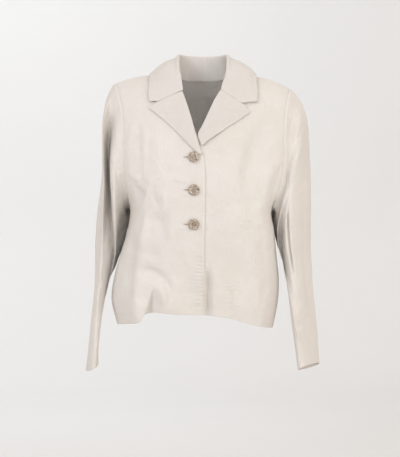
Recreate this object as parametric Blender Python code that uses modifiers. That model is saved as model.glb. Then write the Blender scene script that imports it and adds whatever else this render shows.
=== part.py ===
"""A cropped, boxy, single-breasted blazer in its hollow worn form.

The origin is between the shoulders where the neck rises, +Z is up, the fronts face -Y and the
wearer's left is at +X. Tables are in millimetres; meshes are in metres.
"""
import math

import bpy
import numpy as np

MM = 0.001

# Cloth and seams
CLOTH = 1.6             # wall of the body and the sleeves, cloth with its turned allowances
FACED = 1.8             # wall of the lapels and the collar, two layers with interlining between them
SEAM = 0.3              # the least gap between two pieces
SEAM_SIDE = 0.2         # what each of two panels keeps from the side seam that they share
SEAM_SHOULDER = 0.7     # the same on the shoulder seam, over which the cloth bends
REST = 0.6              # gap under a piece that lies on a curved panel
SLEEVE_SEAM = 0.5       # how far the sleeve's first ring stands out from the armhole edge
SLEEVE_RUN = 5.0        # how far the sleeve then carries on in the body's own direction
UNDERLAP = 2.6          # how far the under front lies behind the upper front

# Buttons
BUTTON_DIAMETER = 24.0
BUTTON_THICKNESS = 3.6
BUTTON_RIM = 1.0
BUTTON_DISH = 1.0
HOLE_DIAMETER = 2.2
HOLE_SPACING = 4.6
BUTTON_X = -20.0
BUTTON_HEIGHTS = {"button_top": -189.0, "button_middle": -260.0, "button_bottom": -334.0}

# Grid sizes
ARMHOLE_ROWS = 14
SIDE_ROWS = 10
FRONT_COLUMNS = 15
BACK_NECK_COLUMNS = 6
BACK_SHOULDER_COLUMNS = 7
SLEEVE_RINGS = 22
COLLAR_SECTIONS = 31
LAPEL_ROWS = 10
LAPEL_COLUMNS = 6


def table(columns, rows):
    """Named columns of a table as arrays."""
    return dict(zip(columns, np.array(rows, float).T))


# Level sections of the body. drop: how far below the shoulder seam, along a body LENGTH long.
# middle, left, right: x of the section's middle and of its two outlines. front, back: its depth
# at the middle. squareness: exponent of the oval, 2 for an ellipse.
LENGTH = 560.0
NECK_HALF = 70.0
SHOULDER_POINT = 196.0
UNDERARM = 300.0
BODY = table(
    ("drop", "middle", "left", "right", "front", "back", "squareness"),
    (
        (0, 0, -234, 234, 0, 0, 2.3),
        (10, 0, -233, 233, 28, 32, 2.3),
        (30, 0, -231, 231, 51, 52, 2.4),
        (60, -1, -228, 229, 74, 68, 2.4),
        (100, -2, -221, 224, 95, 82, 2.4),
        (150, -4, -213, 215, 113, 93, 2.4),
        (200, -6, -203, 204, 125, 101, 2.45),
        (250, -8, -184, 182, 133, 106, 2.7),
        (300, -10, -163, 153, 137, 108, 3.1),
        (340, -11, -167, 159, 138, 108, 3.0),
        (400, -13, -185, 165, 136, 109, 2.7),
        (450, -15, -199, 170, 133, 111, 2.5),
        (500, -17, -205, 168, 130, 112, 2.5),
        (560, -19, -193, 157, 128, 113, 2.5),
    ),
)
# Height of the shoulder seam at a distance from the middle, on either side
SHOULDER = table(
    ("out", "left", "right"),
    (
        (0, 14, 14),
        (70, 8, 7),
        (115, 2, -1),
        (160, -5, -12),
        (196, -18, -31),
        (240, -48, -62),
    ),
)
# Height of the hem across the front and across the back
HEM = table(
    ("x", "front", "back"),
    (
        (-205, -557, -557),
        (-164, -550, -558),
        (-138, -547, -556),
        (-122, -534, -554),
        (-108, -526, -552),
        (-60, -528, -547),
        (0, -529, -545),
        (45, -534, -549),
        (91, -547, -558),
        (137, -559, -567),
        (165, -564, -564),
    ),
)
# Neck, roll and front edge of each front, from the shoulder seam to the hem
EDGE_COLUMNS = ("x", "z")
RIGHT_EDGE = table(
    EDGE_COLUMNS,
    (
        (-70, 8),
        (-56, -10),
        (-47, -41),
        (-29, -95),
        (-18, -134),
        (-7, -167),
        (0, -185),
        (3, -208),
        (4, -271),
        (2, -400),
        (2, -529),
    ),
)
LEFT_EDGE = table(
    EDGE_COLUMNS,
    (
        (70, 7),
        (55, -11),
        (40, -38),
        (24, -65),
        (11, -95),
        (-1, -120),
        (-13, -147),
        (-30, -178),
        (-43, -208),
        (-45, -271),
        (-45, -400),
        (-45, -529),
    ),
)
# Armhole edges in the front and in the back, from the shoulder to the underarm
ARMHOLES = {
    ("right", "front"): table(
        EDGE_COLUMNS,
        ((-196, -18), (-184, -50), (-176, -90), (-174, -140), (-174, -200), (-171, -250), (-163, -296)),
    ),
    ("right", "back"): table(
        EDGE_COLUMNS,
        ((-196, -18), (-188, -55), (-182, -100), (-180, -150), (-180, -205), (-175, -255), (-163, -296)),
    ),
    ("left", "front"): table(
        EDGE_COLUMNS,
        ((194, -31), (187, -55), (181, -90), (178, -140), (177, -200), (168, -250), (153, -296)),
    ),
    ("left", "back"): table(
        EDGE_COLUMNS,
        ((194, -31), (189, -60), (184, -100), (182, -150), (181, -205), (173, -255), (153, -296)),
    ),
}
BACK_NECK = table(("out", "drop"), ((0, 20), (38, 16), (56, 9), (66, 3), (NECK_HALF, 0), (240, 0)))

# Large folds of the body: a line from (x0, z0) to (x1, z1), its half width and how far it stands
# out (positive) or sinks in, and whether it is in the front or the back
FOLD_COLUMNS = ("x0", "z0", "x1", "z1", "half_width", "height")
FRONT_FOLDS = table(
    FOLD_COLUMNS,
    (
        (-118, -315, -158, -545, 17, 9),
        (-142, -340, -182, -520, 15, -8),
        (-96, -300, -120, -400, 20, -5),
        (-116, -470, -120, -560, 10, -9),
        (-142, -490, -140, -560, 16, 8),
        (-70, -440, -100, -540, 26, 5),
        (118, -130, 92, -290, 22, -5),
        (112, -320, 128, -560, 26, 5),
        (70, -330, 66, -560, 24, -4),
        (150, -190, 128, -330, 16, 6),
    ),
)
BACK_FOLDS = table(
    FOLD_COLUMNS,
    (
        (-120, -210, -92, -560, 24, 7),
        (-88, -260, -50, -560, 20, -5),
        (124, -200, 104, -560, 24, 7),
        (84, -280, 66, -560, 22, -6),
        (4, -330, 10, -560, 26, 5),
    ),
)

# Rings of the sleeves. outer and inner: the ring's top or outer end and its underarm or inner end;
# front, back: its reach in y from there; skew: how far its front is turned towards the body; tip:
# how far its front is lifted and its back lowered.
SLEEVE_COLUMNS = (
    "station", "outer_x", "outer_y", "outer_z", "inner_x", "inner_y", "inner_z",
    "front", "back", "skew", "tip",
)
SLEEVES = {
    "right": table(
        SLEEVE_COLUMNS,
        (
            (0.00, -197, 0, -18, -163, 0, -296, 78, 78, 0, 0),
            (0.05, -209, 3, -36, -167, 0, -300, 80, 78, 0, 0),
            (0.12, -219, 6, -66, -172, -2, -305, 82, 78, 2, 0),
            (0.20, -228, 10, -108, -179, -5, -312, 84, 78, 6, 0),
            (0.30, -230, 14, -168, -186, -8, -324, 85, 78, 10, 0),
            (0.40, -232, 18, -235, -190, -10, -350, 83, 75, 13, 0),
            (0.50, -240, 18, -305, -193, -12, -385, 80, 70, 15, 0),
            (0.60, -244, 12, -375, -200, -16, -430, 74, 64, 14, 0),
            (0.70, -245, 6, -440, -212, -20, -478, 69, 60, 11, 0),
            (0.80, -250, 0, -512, -222, -24, -532, 65, 57, 9, 0),
            (0.90, -257, -8, -588, -229, -28, -590, 62, 55, 8, 0),
            (1.00, -264, -14, -660, -232, -30, -646, 60, 54, 8, 3),
        ),
    ),
    "left": table(
        SLEEVE_COLUMNS,
        (
            (0.00, 195, 0, -31, 153, 0, -296, 78, 78, 0, 0),
            (0.05, 208, 3, -43, 156, 0, -303, 80, 78, 0, 0),
            (0.12, 224, 6, -68, 160, -2, -314, 82, 78, 2, 0),
            (0.20, 237, 9, -104, 163, -4, -327, 84, 78, 8, 0),
            (0.30, 242, 12, -156, 166, -6, -345, 85, 76, 14, 0),
            (0.40, 246, 14, -220, 168, -8, -366, 83, 74, 19, 0),
            (0.50, 247, 14, -290, 171, -10, -392, 80, 70, 22, 0),
            (0.60, 246, 12, -365, 177, -14, -424, 75, 64, 21, 0),
            (0.70, 248, 6, -438, 185, -18, -466, 69, 60, 19, 0),
            (0.80, 253, 0, -512, 192, -22, -520, 65, 57, 17, 2),
            (0.90, 259, -6, -582, 200, -26, -584, 61, 54, 17, 8),
            (1.00, 264, -12, -652, 208, -28, -656, 58, 50, 18, 18),
        ),
    ),
}
# Long folds of the sleeves: turn is the way round, 0 at the outer end, 90 in front, 180 inside;
# start and stop are stations
SLEEVE_FOLD_COLUMNS = ("turn", "start", "stop", "half_width", "height")
SLEEVE_FOLDS = {
    "right": table(
        SLEEVE_FOLD_COLUMNS,
        (
            (52, 0.10, 0.68, 24, -11),
            (330, 0.30, 0.80, 22, 7),
            (130, 0.45, 0.95, 20, -5),
            (285, 0.15, 0.70, 18, -7),
            (225, 0.35, 0.90, 20, 5),
        ),
    ),
    "left": table(
        SLEEVE_FOLD_COLUMNS,
        (
            (118, 0.14, 0.62, 18, -9),
            (72, 0.12, 0.60, 18, 6),
            (30, 0.45, 0.90, 18, -5),
            (240, 0.20, 0.75, 20, -7),
            (300, 0.30, 0.85, 20, 6),
        ),
    ),
}

# Sections of the collar from the centre back (share 0) to the notch (share 1), for the wearer's
# left half. seam: where it is sewn on; fold: where it turns over; edge: its free edge, which rests
# on the body in the back (1), on the shoulder (0) or in front (-1). In the back the seam runs on
# the back's own neck edge, so its y and z are 0 here.
COLLAR = table(
    ("share", "seam_x", "seam_y", "seam_z", "fold_x", "fold_y", "fold_z", "edge_x", "edge_z", "faces"),
    (
        (0.00, 0, 0, 0, 0, 53, 45, 0, -16, 1),
        (0.20, 36, 0, 0, 34, 44, 46, 56, -15, 1),
        (0.38, 59, 0, 0, 50, 26, 46, 98, -6, 1),
        (0.52, 66, 0, 10, 56, 4, 43, 117, 6, 0),
        (0.68, 55, -27, 4, 56, -22, 22, 119, -20, -1),
        (0.84, 47, -43, -10, 50, -42, -8, 120, -42, -1),
        (1.00, 43, -62, -38, 43, -62, -38, 118, -64, -1),
    ),
)
COLLAR_ROLL = 4.6       # radius of the turn at the collar's fold, at the centre back
COLLAR_LIFT = 3.0       # how far the collar's edge stays off the cloth below it
# The notch, where the gorge seam between collar and lapel ends: x and z on either side
NOTCHES = {"right": (-97, -62), "left": (84, -66)}
NOTCH_ON_COLLAR = 0.62  # share of the collar's end that is sewn to the lapel

# Lapels: roll is the inner, folded side and edge the free side, from the gorge down
LAPEL_COLUMNS_OF = ("share", "roll_x", "roll_z", "edge_x", "edge_z")
LAPELS = {
    "right": table(
        LAPEL_COLUMNS_OF,
        (
            (0.0, -47, -41, -119, -78),
            (0.2, -37, -69, -98, -95),
            (0.4, -29, -95, -76, -114),
            (0.6, -21, -124, -55, -135),
            (0.8, -11, -155, -30, -162),
            (1.0, -2, -180, -8, -183),
        ),
    ),
    "left": table(
        LAPEL_COLUMNS_OF,
        (
            (0.0, 40, -38, 104, -87),
            (0.2, 26, -61, 82, -103),
            (0.4, 14, -88, 58, -119),
            (0.6, 2, -114, 35, -135),
            (0.8, -10, -140, 14, -149),
            (1.0, -6, -156, 1, -159),
        ),
    ),
}
LAPEL_LIFT = table(("share", "lift"), ((0, 0.0), (0.15, 2.6), (0.5, 3.4), (1, 1.4)))

COLOURS = {
    "cloth": ((0.79, 0.74, 0.68, 1.0), 0.85),
    "facing": ((0.81, 0.76, 0.70, 1.0), 0.85),
    "button": ((0.27, 0.18, 0.11, 1.0), 0.35),
}


def curve(stations, values, at):
    """Smooth curve through (stations, values): a cubic between each pair of rows, with the slope
    at a row taken from its neighbours."""
    slope = np.gradient(values, stations)
    at = np.clip(at, stations[0], stations[-1])
    row = np.clip(np.searchsorted(stations, at, side="right") - 1, 0, len(stations) - 2)
    width = stations[row + 1] - stations[row]
    part = (at - stations[row]) / width
    rest = 1 - part
    return (
        values[row] * (1 + 2 * part) * rest**2
        + values[row + 1] * (1 + 2 * rest) * part**2
        + width * part * rest * (slope[row] * rest - slope[row + 1] * part)
    )


def ease(value):
    """0 below 0, 1 above 1, and smooth between."""
    value = np.clip(value, 0, 1)
    return value * value * (3 - 2 * value)


# ---------------------------------------------------------------- the body's form

BODY_LEVELS = np.sqrt(BODY["drop"] / LENGTH)
UNDERARM_LEVEL = math.sqrt(UNDERARM / LENGTH)


def section(level, column):
    """One column of the body's table at a level, 0 on the shoulder seam and 1 at the hem."""
    return curve(BODY_LEVELS, BODY[column], level)


def shoulder_height(x):
    """Height of the shoulder seam above x."""
    out = np.abs(x)
    left = curve(SHOULDER["out"], SHOULDER["left"], out)
    right = curve(SHOULDER["out"], SHOULDER["right"], out)
    return np.where(x < 0, left, right)


def hem_height(x, side):
    """Height of the hem below x, in the front or the back."""
    return curve(HEM["x"], HEM[side], x)


def level_at(x, z, side):
    """Level of the point of the body at x and z: the root of its share of the way to the hem."""
    top = shoulder_height(x)
    return np.sqrt(np.clip((top - z) / (top - hem_height(x, side)), 0, 1))


def turn_at(x, level):
    """How far round a section x lies: -1 at its left outline, 0 in the middle, 1 at its right."""
    middle = section(level, "middle")
    reach = np.where(x < middle, middle - section(level, "left"), section(level, "right") - middle)
    share = np.clip(np.abs(x - middle) / reach, 0, 1)
    return np.sign(x - middle) * np.arcsin(share ** (section(level, "squareness") / 2)) * 2 / math.pi


def fold_height(x, z, folds):
    """Sum of the folds at x and z: a bell across each line, fading out over its two ends."""
    total = np.zeros(np.broadcast(x, z).shape)
    for x0, z0, x1, z1, half_width, height in zip(*(folds[name] for name in FOLD_COLUMNS)):
        length = math.hypot(x1 - x0, z1 - z0)
        along = ((x - x0) * (x1 - x0) + (z - z0) * (z1 - z0)) / length**2
        across = ((x - x0) * (z1 - z0) - (z - z0) * (x1 - x0)) / length
        fade = ease(along / 0.3) * ease((1.15 - along) / 0.2)
        total = total + height * fade * np.exp(-((across / half_width) ** 2))
    return total


def body(turn, level, side):
    """Outer face of the cloth at a turn and a level: an oval section, moved out by the folds."""
    middle = section(level, "middle")
    reach = np.where(turn < 0, middle - section(level, "left"), section(level, "right") - middle)
    power = 2 / section(level, "squareness")
    angle = np.clip(turn, -1, 1) * math.pi / 2
    share = np.sign(turn) * np.abs(np.sin(angle)) ** power
    x = middle + reach * share
    depth = section(level, side) * np.clip(np.cos(angle), 0, 1) ** power
    z = shoulder_height(x) + (hem_height(x, side) - shoulder_height(x)) * level**2
    out = fold_height(x, z, FRONT_FOLDS if side == "front" else BACK_FOLDS)
    out = out * np.clip(np.cos(angle) * 2.5, 0, 1)
    depth = depth + out
    return np.stack([x, -depth if side == "front" else depth, z], axis=-1)


def body_depth(x, z, side):
    """Depth in y of the body's outer face at x and z, negative in front."""
    level = level_at(x, z, side)
    return body(turn_at(x, level), level, side)[..., 1]


def edge_x(edge, level, side):
    """x of an edge line at a level."""
    return curve(level_at(edge["x"], edge["z"], side), edge["x"], level)


# ---------------------------------------------------------------- from grids to solids

def clear_scene():
    """Remove what the file holds."""
    for old in list(bpy.data.objects):
        bpy.data.objects.remove(old, do_unlink=True)


def material(name):
    """One of the part's finishes as a Principled BSDF."""
    colour, roughness = COLOURS[name]
    made = bpy.data.materials.get(name) or bpy.data.materials.new(name)
    made.use_nodes = True
    shader = made.node_tree.nodes["Principled BSDF"]
    shader.inputs["Base Color"].default_value = colour
    shader.inputs["Roughness"].default_value = roughness
    shader.inputs["Metallic"].default_value = 0.0
    made.diffuse_color = colour
    return made


def add_object(name, mesh, finish, collection):
    """Link a mesh as a named part with its own finish."""
    part = bpy.data.objects.new(name, mesh)
    mesh.materials.append(material(finish))
    mesh.shade_smooth()
    collection.objects.link(part)
    return part


def grid_faces(rows, columns, ring):
    """Corners of the four-sided faces of a grid, closed round its columns if it is a ring."""
    index = np.arange(rows * columns).reshape(rows, columns)
    if ring:
        index = np.concatenate([index, index[:, :1]], axis=1)
    corners = [index[:-1, :-1], index[:-1, 1:], index[1:, 1:], index[1:, :-1]]
    return np.stack(corners, axis=-1).reshape(-1, 4)


def cloth(name, grid, wall, finish, collection, ring=False, flip=False):
    """A piece of cloth: an open grid of outer points, given its wall on the inner side."""
    rows, columns = grid.shape[:2]
    faces = grid_faces(rows, columns, ring)
    if flip:
        faces = faces[:, ::-1]
    mesh = bpy.data.meshes.new(name)
    mesh.from_pydata((grid * MM).reshape(-1, 3).tolist(), [], faces.tolist())
    part = add_object(name, mesh, finish, collection)
    solidify = part.modifiers.new("wall", "SOLIDIFY")
    solidify.thickness = wall * MM
    solidify.offset = -1.0
    solidify.use_even_offset = True
    solidify.thickness_clamp = 0.0
    return part


# ---------------------------------------------------------------- fronts and back

def armhole_levels():
    """Levels of the rows beside the armhole, closer together near its two ends."""
    share = np.linspace(0, 1, ARMHOLE_ROWS)
    return UNDERARM_LEVEL * (0.6 * share + 0.4 * (1 - np.cos(math.pi * share)) / 2)


def panel_levels():
    """Levels of all rows of a body panel, from the shoulder seam to the hem."""
    below = np.linspace(UNDERARM_LEVEL, 1, SIDE_ROWS)
    return np.concatenate([armhole_levels(), below[1:]])


def outer_turn(side, face, level):
    """Turn of a panel's outer edge: the armhole edge, and the side seam below it."""
    sign = -1 if side == "right" else 1
    turn = turn_at(edge_x(ARMHOLES[side, face], level, face), level)
    return np.where(level < UNDERARM_LEVEL - 1e-6, turn, sign)


def keep_from_seams(grid, level, face):
    """Hold a panel off the plane of the shoulder and side seams."""
    keep = SEAM_SIDE + (SEAM_SHOULDER - SEAM_SIDE) * (1 - ease(level / 0.1))
    if face == "front":
        grid[..., 1] = np.minimum(grid[..., 1], -keep)
    else:
        grid[..., 1] = np.maximum(grid[..., 1], keep)
    return grid


def front_grid(side):
    """Points of one front, from its edge to its armhole and side seam, row by row."""
    level = panel_levels()[:, None]
    edge = RIGHT_EDGE if side == "right" else LEFT_EDGE
    inner = turn_at(edge_x(edge, level, "front"), level)
    outer = outer_turn(side, "front", level)
    across = np.linspace(0, 1, FRONT_COLUMNS)[None, :]
    grid = body(inner + (outer - inner) * across, level, "front")
    if side == "left":
        under = 1 - ease((grid[..., 0] - 8) / 40)
        grid[..., 1] += UNDERLAP * under * ease(level / 0.3)
    return keep_from_seams(grid, level, "front")


def neck_level(x):
    """Level at which the back ends below the collar, 0 beside the neck."""
    return np.sqrt(np.maximum(curve(BACK_NECK["out"], BACK_NECK["drop"], np.abs(x)), 0) / LENGTH)


def back_grid():
    """Points of the back, from one side to the other, with the neck cut out of its top rows."""
    half = np.concatenate([
        np.linspace(0, NECK_HALF, BACK_NECK_COLUMNS),
        np.linspace(NECK_HALF, SHOULDER_POINT, BACK_SHOULDER_COLUMNS)[1:],
    ])
    top = np.concatenate([-half[:0:-1], half])[None, :]
    neck = neck_level(top)
    level = neck + (1 - neck) * panel_levels()[:, None]
    share = turn_at(np.abs(top), 0.1) / turn_at(np.array(SHOULDER_POINT), 0.1)
    right = outer_turn("right", "back", panel_levels()[:, None])
    left = outer_turn("left", "back", panel_levels()[:, None])
    turn = share * np.where(top < 0, right, left)
    return keep_from_seams(body(turn, level, "back"), level, "back")


# ---------------------------------------------------------------- sleeves

def ring_points(side, station, angle):
    """Ring of a sleeve: an oval between its outer and inner ends, turned by its skew and tip."""
    sleeve = SLEEVES[side]
    value = {name: curve(sleeve["station"], sleeve[name], station) for name in SLEEVE_COLUMNS}
    outer = np.stack([value["outer_x"], value["outer_y"], value["outer_z"]], axis=-1)
    inner = np.stack([value["inner_x"], value["inner_y"], value["inner_z"]], axis=-1)
    points = (outer + inner) / 2 + np.cos(angle)[..., None] * (outer - inner) / 2
    narrow = np.sqrt(np.clip(1 - (2 * value["skew"] / (value["outer_x"] - value["inner_x"])) ** 2, 0.04, 1))
    across = (outer - inner)[..., 0] / 2 * (narrow - 1)
    sign = -1 if side == "right" else 1
    reach = np.where(np.sin(angle) > 0, value["front"], value["back"])
    points[..., 0] += across * np.cos(angle) - sign * value["skew"] * np.sin(angle)
    points[..., 1] -= reach * np.sin(angle)
    points[..., 2] += value["tip"] * np.sin(angle)
    return points


def sleeve_fold(side, station, angle):
    """Sum of the sleeve's long folds at a station and an angle."""
    folds = SLEEVE_FOLDS[side]
    total = np.zeros(np.broadcast(station, angle).shape)
    for turn, start, stop, half_width, height in zip(*(folds[name] for name in SLEEVE_FOLD_COLUMNS)):
        away = np.abs((np.degrees(angle) - turn + 180) % 360 - 180)
        along = (station - start) / (stop - start)
        fade = ease(along / 0.3) * ease((1 - along) / 0.3)
        total = total + height * fade * np.exp(-((away / half_width) ** 2))
    return total


def armhole_ring(side):
    """The armhole's edge as a ring, down its front and up its back, with each point's angle and
    the body's outward normal there."""
    level = armhole_levels()
    faces = []
    normals = []
    for face in ("front", "back"):
        turn = outer_turn(side, face, level) * 0.999
        point = body(turn, level, face)
        around = body(turn * 0.99, level, face) - point
        down = body(turn, level + 0.005, face) - point
        normal = np.cross(around, down)
        normal = normal / np.linalg.norm(normal, axis=1, keepdims=True)
        outward = normal[:, :1] * (-1 if side == "right" else 1)
        normals.append(normal * np.sign(outward))
        faces.append(body(outer_turn(side, face, level), level, face))
    ring = np.concatenate([faces[0], faces[1][-2:0:-1]])
    normal = np.concatenate([normals[0], normals[1][-2:0:-1]])
    drop = (ring[:, 2] - ring[0, 2]) / (ring[ARMHOLE_ROWS - 1, 2] - ring[0, 2])
    half = np.arccos(np.clip(1 - 2 * drop, -1, 1))
    angle = np.where(np.arange(len(ring)) < ARMHOLE_ROWS, half, 2 * math.pi - half)
    return ring, angle, normal, drop


def sleeve_start(side):
    """The sleeve's first two rings: just off the armhole's edge, then a short run in the body's
    own direction, which turns outward at the underarm. Also the angle of each of their points."""
    ring, angle, normal, drop = armhole_ring(side)
    along = np.roll(ring, -1, axis=0) - np.roll(ring, 1, axis=0)
    away = np.cross(along, normal)
    away = away / np.linalg.norm(away, axis=1, keepdims=True)
    hole = ring.mean(axis=0) - ring
    hole = hole / np.linalg.norm(hole, axis=1, keepdims=True)
    hole[:, 0] += -1 if side == "right" else 1
    away = away * np.sign((away * hole).sum(axis=1, keepdims=True))
    low = ease((drop - 0.85) / 0.15)[:, None]
    first = ring + away * SLEEVE_SEAM * (1 + 2 * low) + normal * SEAM * low
    run = away * (1 - low) + normal * (0.35 + 1.5 * low)
    run = run / np.linalg.norm(run, axis=1, keepdims=True)
    return first, first + run * SLEEVE_RUN, angle


def sleeve_grid(side):
    """Points of a sleeve, ring by ring: the armhole's edge, turning into the table's ovals."""
    first, second, start = sleeve_start(side)
    even = np.linspace(0, 2 * math.pi, len(first), endpoint=False)
    station = np.linspace(0, 1, SLEEVE_RINGS)[:, None]
    angle = start + (even - start) * ease(station / 0.5)
    rings = ring_points(side, station, angle)
    centre = rings.mean(axis=1, keepdims=True)
    outward = rings - centre
    outward = outward / np.linalg.norm(outward, axis=-1, keepdims=True)
    rings = rings + outward * sleeve_fold(side, station, angle)[..., None]
    table_start = ring_points(side, station[:1], angle[:1])
    rings = rings + (second - table_start) * (1 - ease(station / 0.28))[..., None]
    return np.concatenate([first[None], rings])


# ---------------------------------------------------------------- lapels and collar

def lapel_offset(share):
    """How far a lapel's outer face stands off the front, from its roll (0) to its edge (1)."""
    return REST + FACED + curve(LAPEL_LIFT["share"], LAPEL_LIFT["lift"], share)


def lapel_grid(side):
    """Points of a lapel: straight rows from roll to edge on the front's own face, moved out."""
    lapel = LAPELS[side]
    down = np.linspace(0, 1, LAPEL_ROWS)[:, None]
    out = np.linspace(0, 1, LAPEL_COLUMNS)[None, :]
    ends = {name: curve(lapel["share"], lapel[name], down) for name in LAPEL_COLUMNS_OF[1:]}
    x = ends["roll_x"] + (ends["edge_x"] - ends["roll_x"]) * out
    z = ends["roll_z"] + (ends["edge_z"] - ends["roll_z"]) * out
    notch = np.array([x[0, 0], NOTCHES[side][0], x[0, -1]])
    gorge = np.interp(x[0] * np.sign(x[0]), notch * np.sign(notch), [z[0, 0], NOTCHES[side][1], z[0, -1]])
    z = z - 2 * SEAM + (gorge - z[0]) * (1 - ease(down / 0.4))
    y = body_depth(x, z, "front") - lapel_offset(out)
    return np.stack([x, y, z], axis=-1)


def collar_edge():
    """The collar's free edge: the body's face at each row of the table, plus its lift."""
    x, z, faces = COLLAR["edge_x"], COLLAR["edge_z"], COLLAR["faces"]
    back = body_depth(x, z, "back") + COLLAR_LIFT + FACED
    front = body_depth(x, z, "front") - COLLAR_LIFT - FACED
    y = np.where(faces > 0, back, np.where(faces < 0, front, 0.0))
    return np.stack([x, y, z], axis=-1)


def collar_seam():
    """Where the collar is sewn on: the back's neck edge, then the table's rows in front."""
    x = COLLAR["seam_x"]
    level = neck_level(x)
    back = body(turn_at(x, level), level, "back")
    front = np.stack([x, COLLAR["seam_y"], COLLAR["seam_z"]], axis=-1)
    return np.where(COLLAR["faces"][:, None] > 0, back, front)


def rest_on_body(points, gap):
    """Move points that would lie less than gap off the body's outer face out in y."""
    x, y, z = points[..., 0], points[..., 1], points[..., 2]
    moved = points.copy()
    for face, sign in (("front", -1), ("back", 1)):
        level = level_at(x, z - gap, face)
        least = np.abs(body(turn_at(x, level), level, face)[..., 1]) + gap * ease(level / 0.08)
        moved[..., 1] = np.where(sign * y > 0, sign * np.maximum(sign * y, least), moved[..., 1])
    return moved


def collar_grid():
    """Points of the collar: at each section up the stand, round the fold and down the fall. In
    front the stand runs out, and the section is the fall alone, along the gorge."""
    side = np.linspace(-1, 1, COLLAR_SECTIONS)
    share = np.abs(side)
    mirror = np.where(side < 0, -1, 1)

    def along(rows):
        points = np.stack([curve(COLLAR["share"], rows[:, axis], share) for axis in range(3)], axis=-1)
        points[:, 0] *= mirror
        return points

    seam = along(collar_seam())
    fold = along(np.stack([COLLAR["fold_x"], COLLAR["fold_y"], COLLAR["fold_z"]], axis=-1))
    edge = along(collar_edge())
    out = edge - seam
    out[:, 2] = 0
    out = out / np.linalg.norm(out, axis=1, keepdims=True)
    up = np.array([0.0, 0.0, 1.0])
    bend = [
        fold + COLLAR_ROLL * (math.cos(angle) * out + math.sin(angle) * up)
        for angle in np.linspace(math.pi, 0, 5)
    ]
    stand = seam + (bend[0] - seam) * 0.5 - out
    fall = [
        bend[-1] + (edge - bend[-1]) * part + (out * 4.0 + up * 3.0) * swell
        for part, swell in ((0.33, 0.9), (0.67, 0.9))
    ]
    folded = np.stack([seam, stand, *bend, *fall, edge], axis=1)
    knots = np.array([0.0, 0.14, 0.28, 0.32, 0.36, 0.40, 0.44, NOTCH_ON_COLLAR, 0.80, 1.0])
    notch_x = np.where(side < 0, NOTCHES["right"][0], NOTCHES["left"][0])
    notch_z = np.where(side < 0, NOTCHES["right"][1], NOTCHES["left"][1])
    notch_y = body_depth(notch_x, notch_z, "front") - FACED - COLLAR_LIFT
    notch = np.stack([notch_x, notch_y, notch_z], axis=-1)
    straight = seam[:, None] + (edge - seam)[:, None] * knots[:, None]
    sewn = np.clip(knots / NOTCH_ON_COLLAR, 0, 1)[:, None]
    free = np.clip((knots - NOTCH_ON_COLLAR) / (1 - NOTCH_ON_COLLAR), 0, 1)[:, None]
    gorge = seam[:, None] * (1 - sewn) + notch[:, None] * (sewn - free) + edge[:, None] * free
    flat = straight + (gorge - straight) * ease((share - 0.75) / 0.25)[:, None, None]
    standing = (1 - ease((share - 0.62) / 0.30))[:, None, None]
    path = flat * (1 - standing) + folded * standing
    across = np.array([0.0, 0.14, 0.28, 0.32, 0.36, 0.40, 0.44, 0.53, NOTCH_ON_COLLAR, 0.75, 0.88, 1.0])
    grid = np.stack([curve_rows(knots, path[:, :, axis], across) for axis in range(3)], axis=-1)
    gap = REST + FACED + COLLAR_LIFT * ease((across - 0.30) / 0.3)
    rested = rest_on_body(grid, gap[None, :])
    laid = np.maximum(ease((across - 0.40) / 0.1)[None, :], 1 - standing[:, :, 0])
    return grid + (rested - grid) * laid[..., None] + up * 2 * SEAM


def curve_rows(knots, rows, at):
    """The smooth curve through each row of values, read at the same places."""
    return np.stack([curve(knots, row, at) for row in rows])


# ---------------------------------------------------------------- buttons

def button_profile():
    """Half section of a button from the middle of its dish, over the rim, to its flat back."""
    radius = BUTTON_DIAMETER / 2
    top = BUTTON_THICKNESS
    return (
        (0.0, top - BUTTON_DISH),
        (radius * 0.55, top - BUTTON_DISH),
        (radius * 0.72, top - 0.1),
        (radius - BUTTON_RIM, top),
        (radius - 0.2, top - 0.9),
        (radius, top - 1.8),
        (radius - 0.8, 0.5),
        (radius - 2.2, 0.0),
        (0.0, 0.0),
    )


def button_mesh(collection, cutters):
    """A turned button with four sewing holes, its back on z = 0."""
    mesh = bpy.data.meshes.new("button_profile")
    points = [(x * MM, 0.0, z * MM) for x, z in button_profile()]
    mesh.from_pydata(points, [(i, i + 1) for i in range(len(points) - 1)], [])
    blank = bpy.data.objects.new("button_blank", mesh)
    collection.objects.link(blank)
    screw = blank.modifiers.new("turn", "SCREW")
    screw.axis = "Z"
    screw.steps = 24
    screw.render_steps = 24
    screw.use_merge_vertices = True
    screw.merge_threshold = 0.00001
    for corner in range(4):
        angle = math.radians(45 + 90 * corner)
        place = (HOLE_SPACING / 2 * MM * math.sqrt(2) * math.cos(angle),
                 HOLE_SPACING / 2 * MM * math.sqrt(2) * math.sin(angle), 0.001)
        bpy.ops.mesh.primitive_cylinder_add(
            vertices=8, radius=HOLE_DIAMETER / 2 * MM, depth=0.012, location=place)
        hole = bpy.context.object
        hole.name = f"hole_cutter_{corner}"
        hole.hide_render = True
        hole.display_type = "WIRE"
        for owner in list(hole.users_collection):
            owner.objects.unlink(hole)
        cutters.objects.link(hole)
        cut = blank.modifiers.new(f"hole_{corner}", "BOOLEAN")
        cut.operation = "DIFFERENCE"
        cut.solver = "EXACT"
        cut.object = hole
    bpy.context.view_layer.update()
    seen = blank.evaluated_get(bpy.context.evaluated_depsgraph_get())
    made = bpy.data.meshes.new_from_object(seen)
    bpy.data.objects.remove(blank, do_unlink=True)
    return made


def front_tilt(x, z):
    """Slopes of the upper front's face at x and z."""
    step = 6.0
    across = (body_depth(x + step, z, "front") - body_depth(x - step, z, "front")) / (2 * step)
    down = (body_depth(x, z + step, "front") - body_depth(x, z - step, "front")) / (2 * step)
    return across, down


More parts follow.
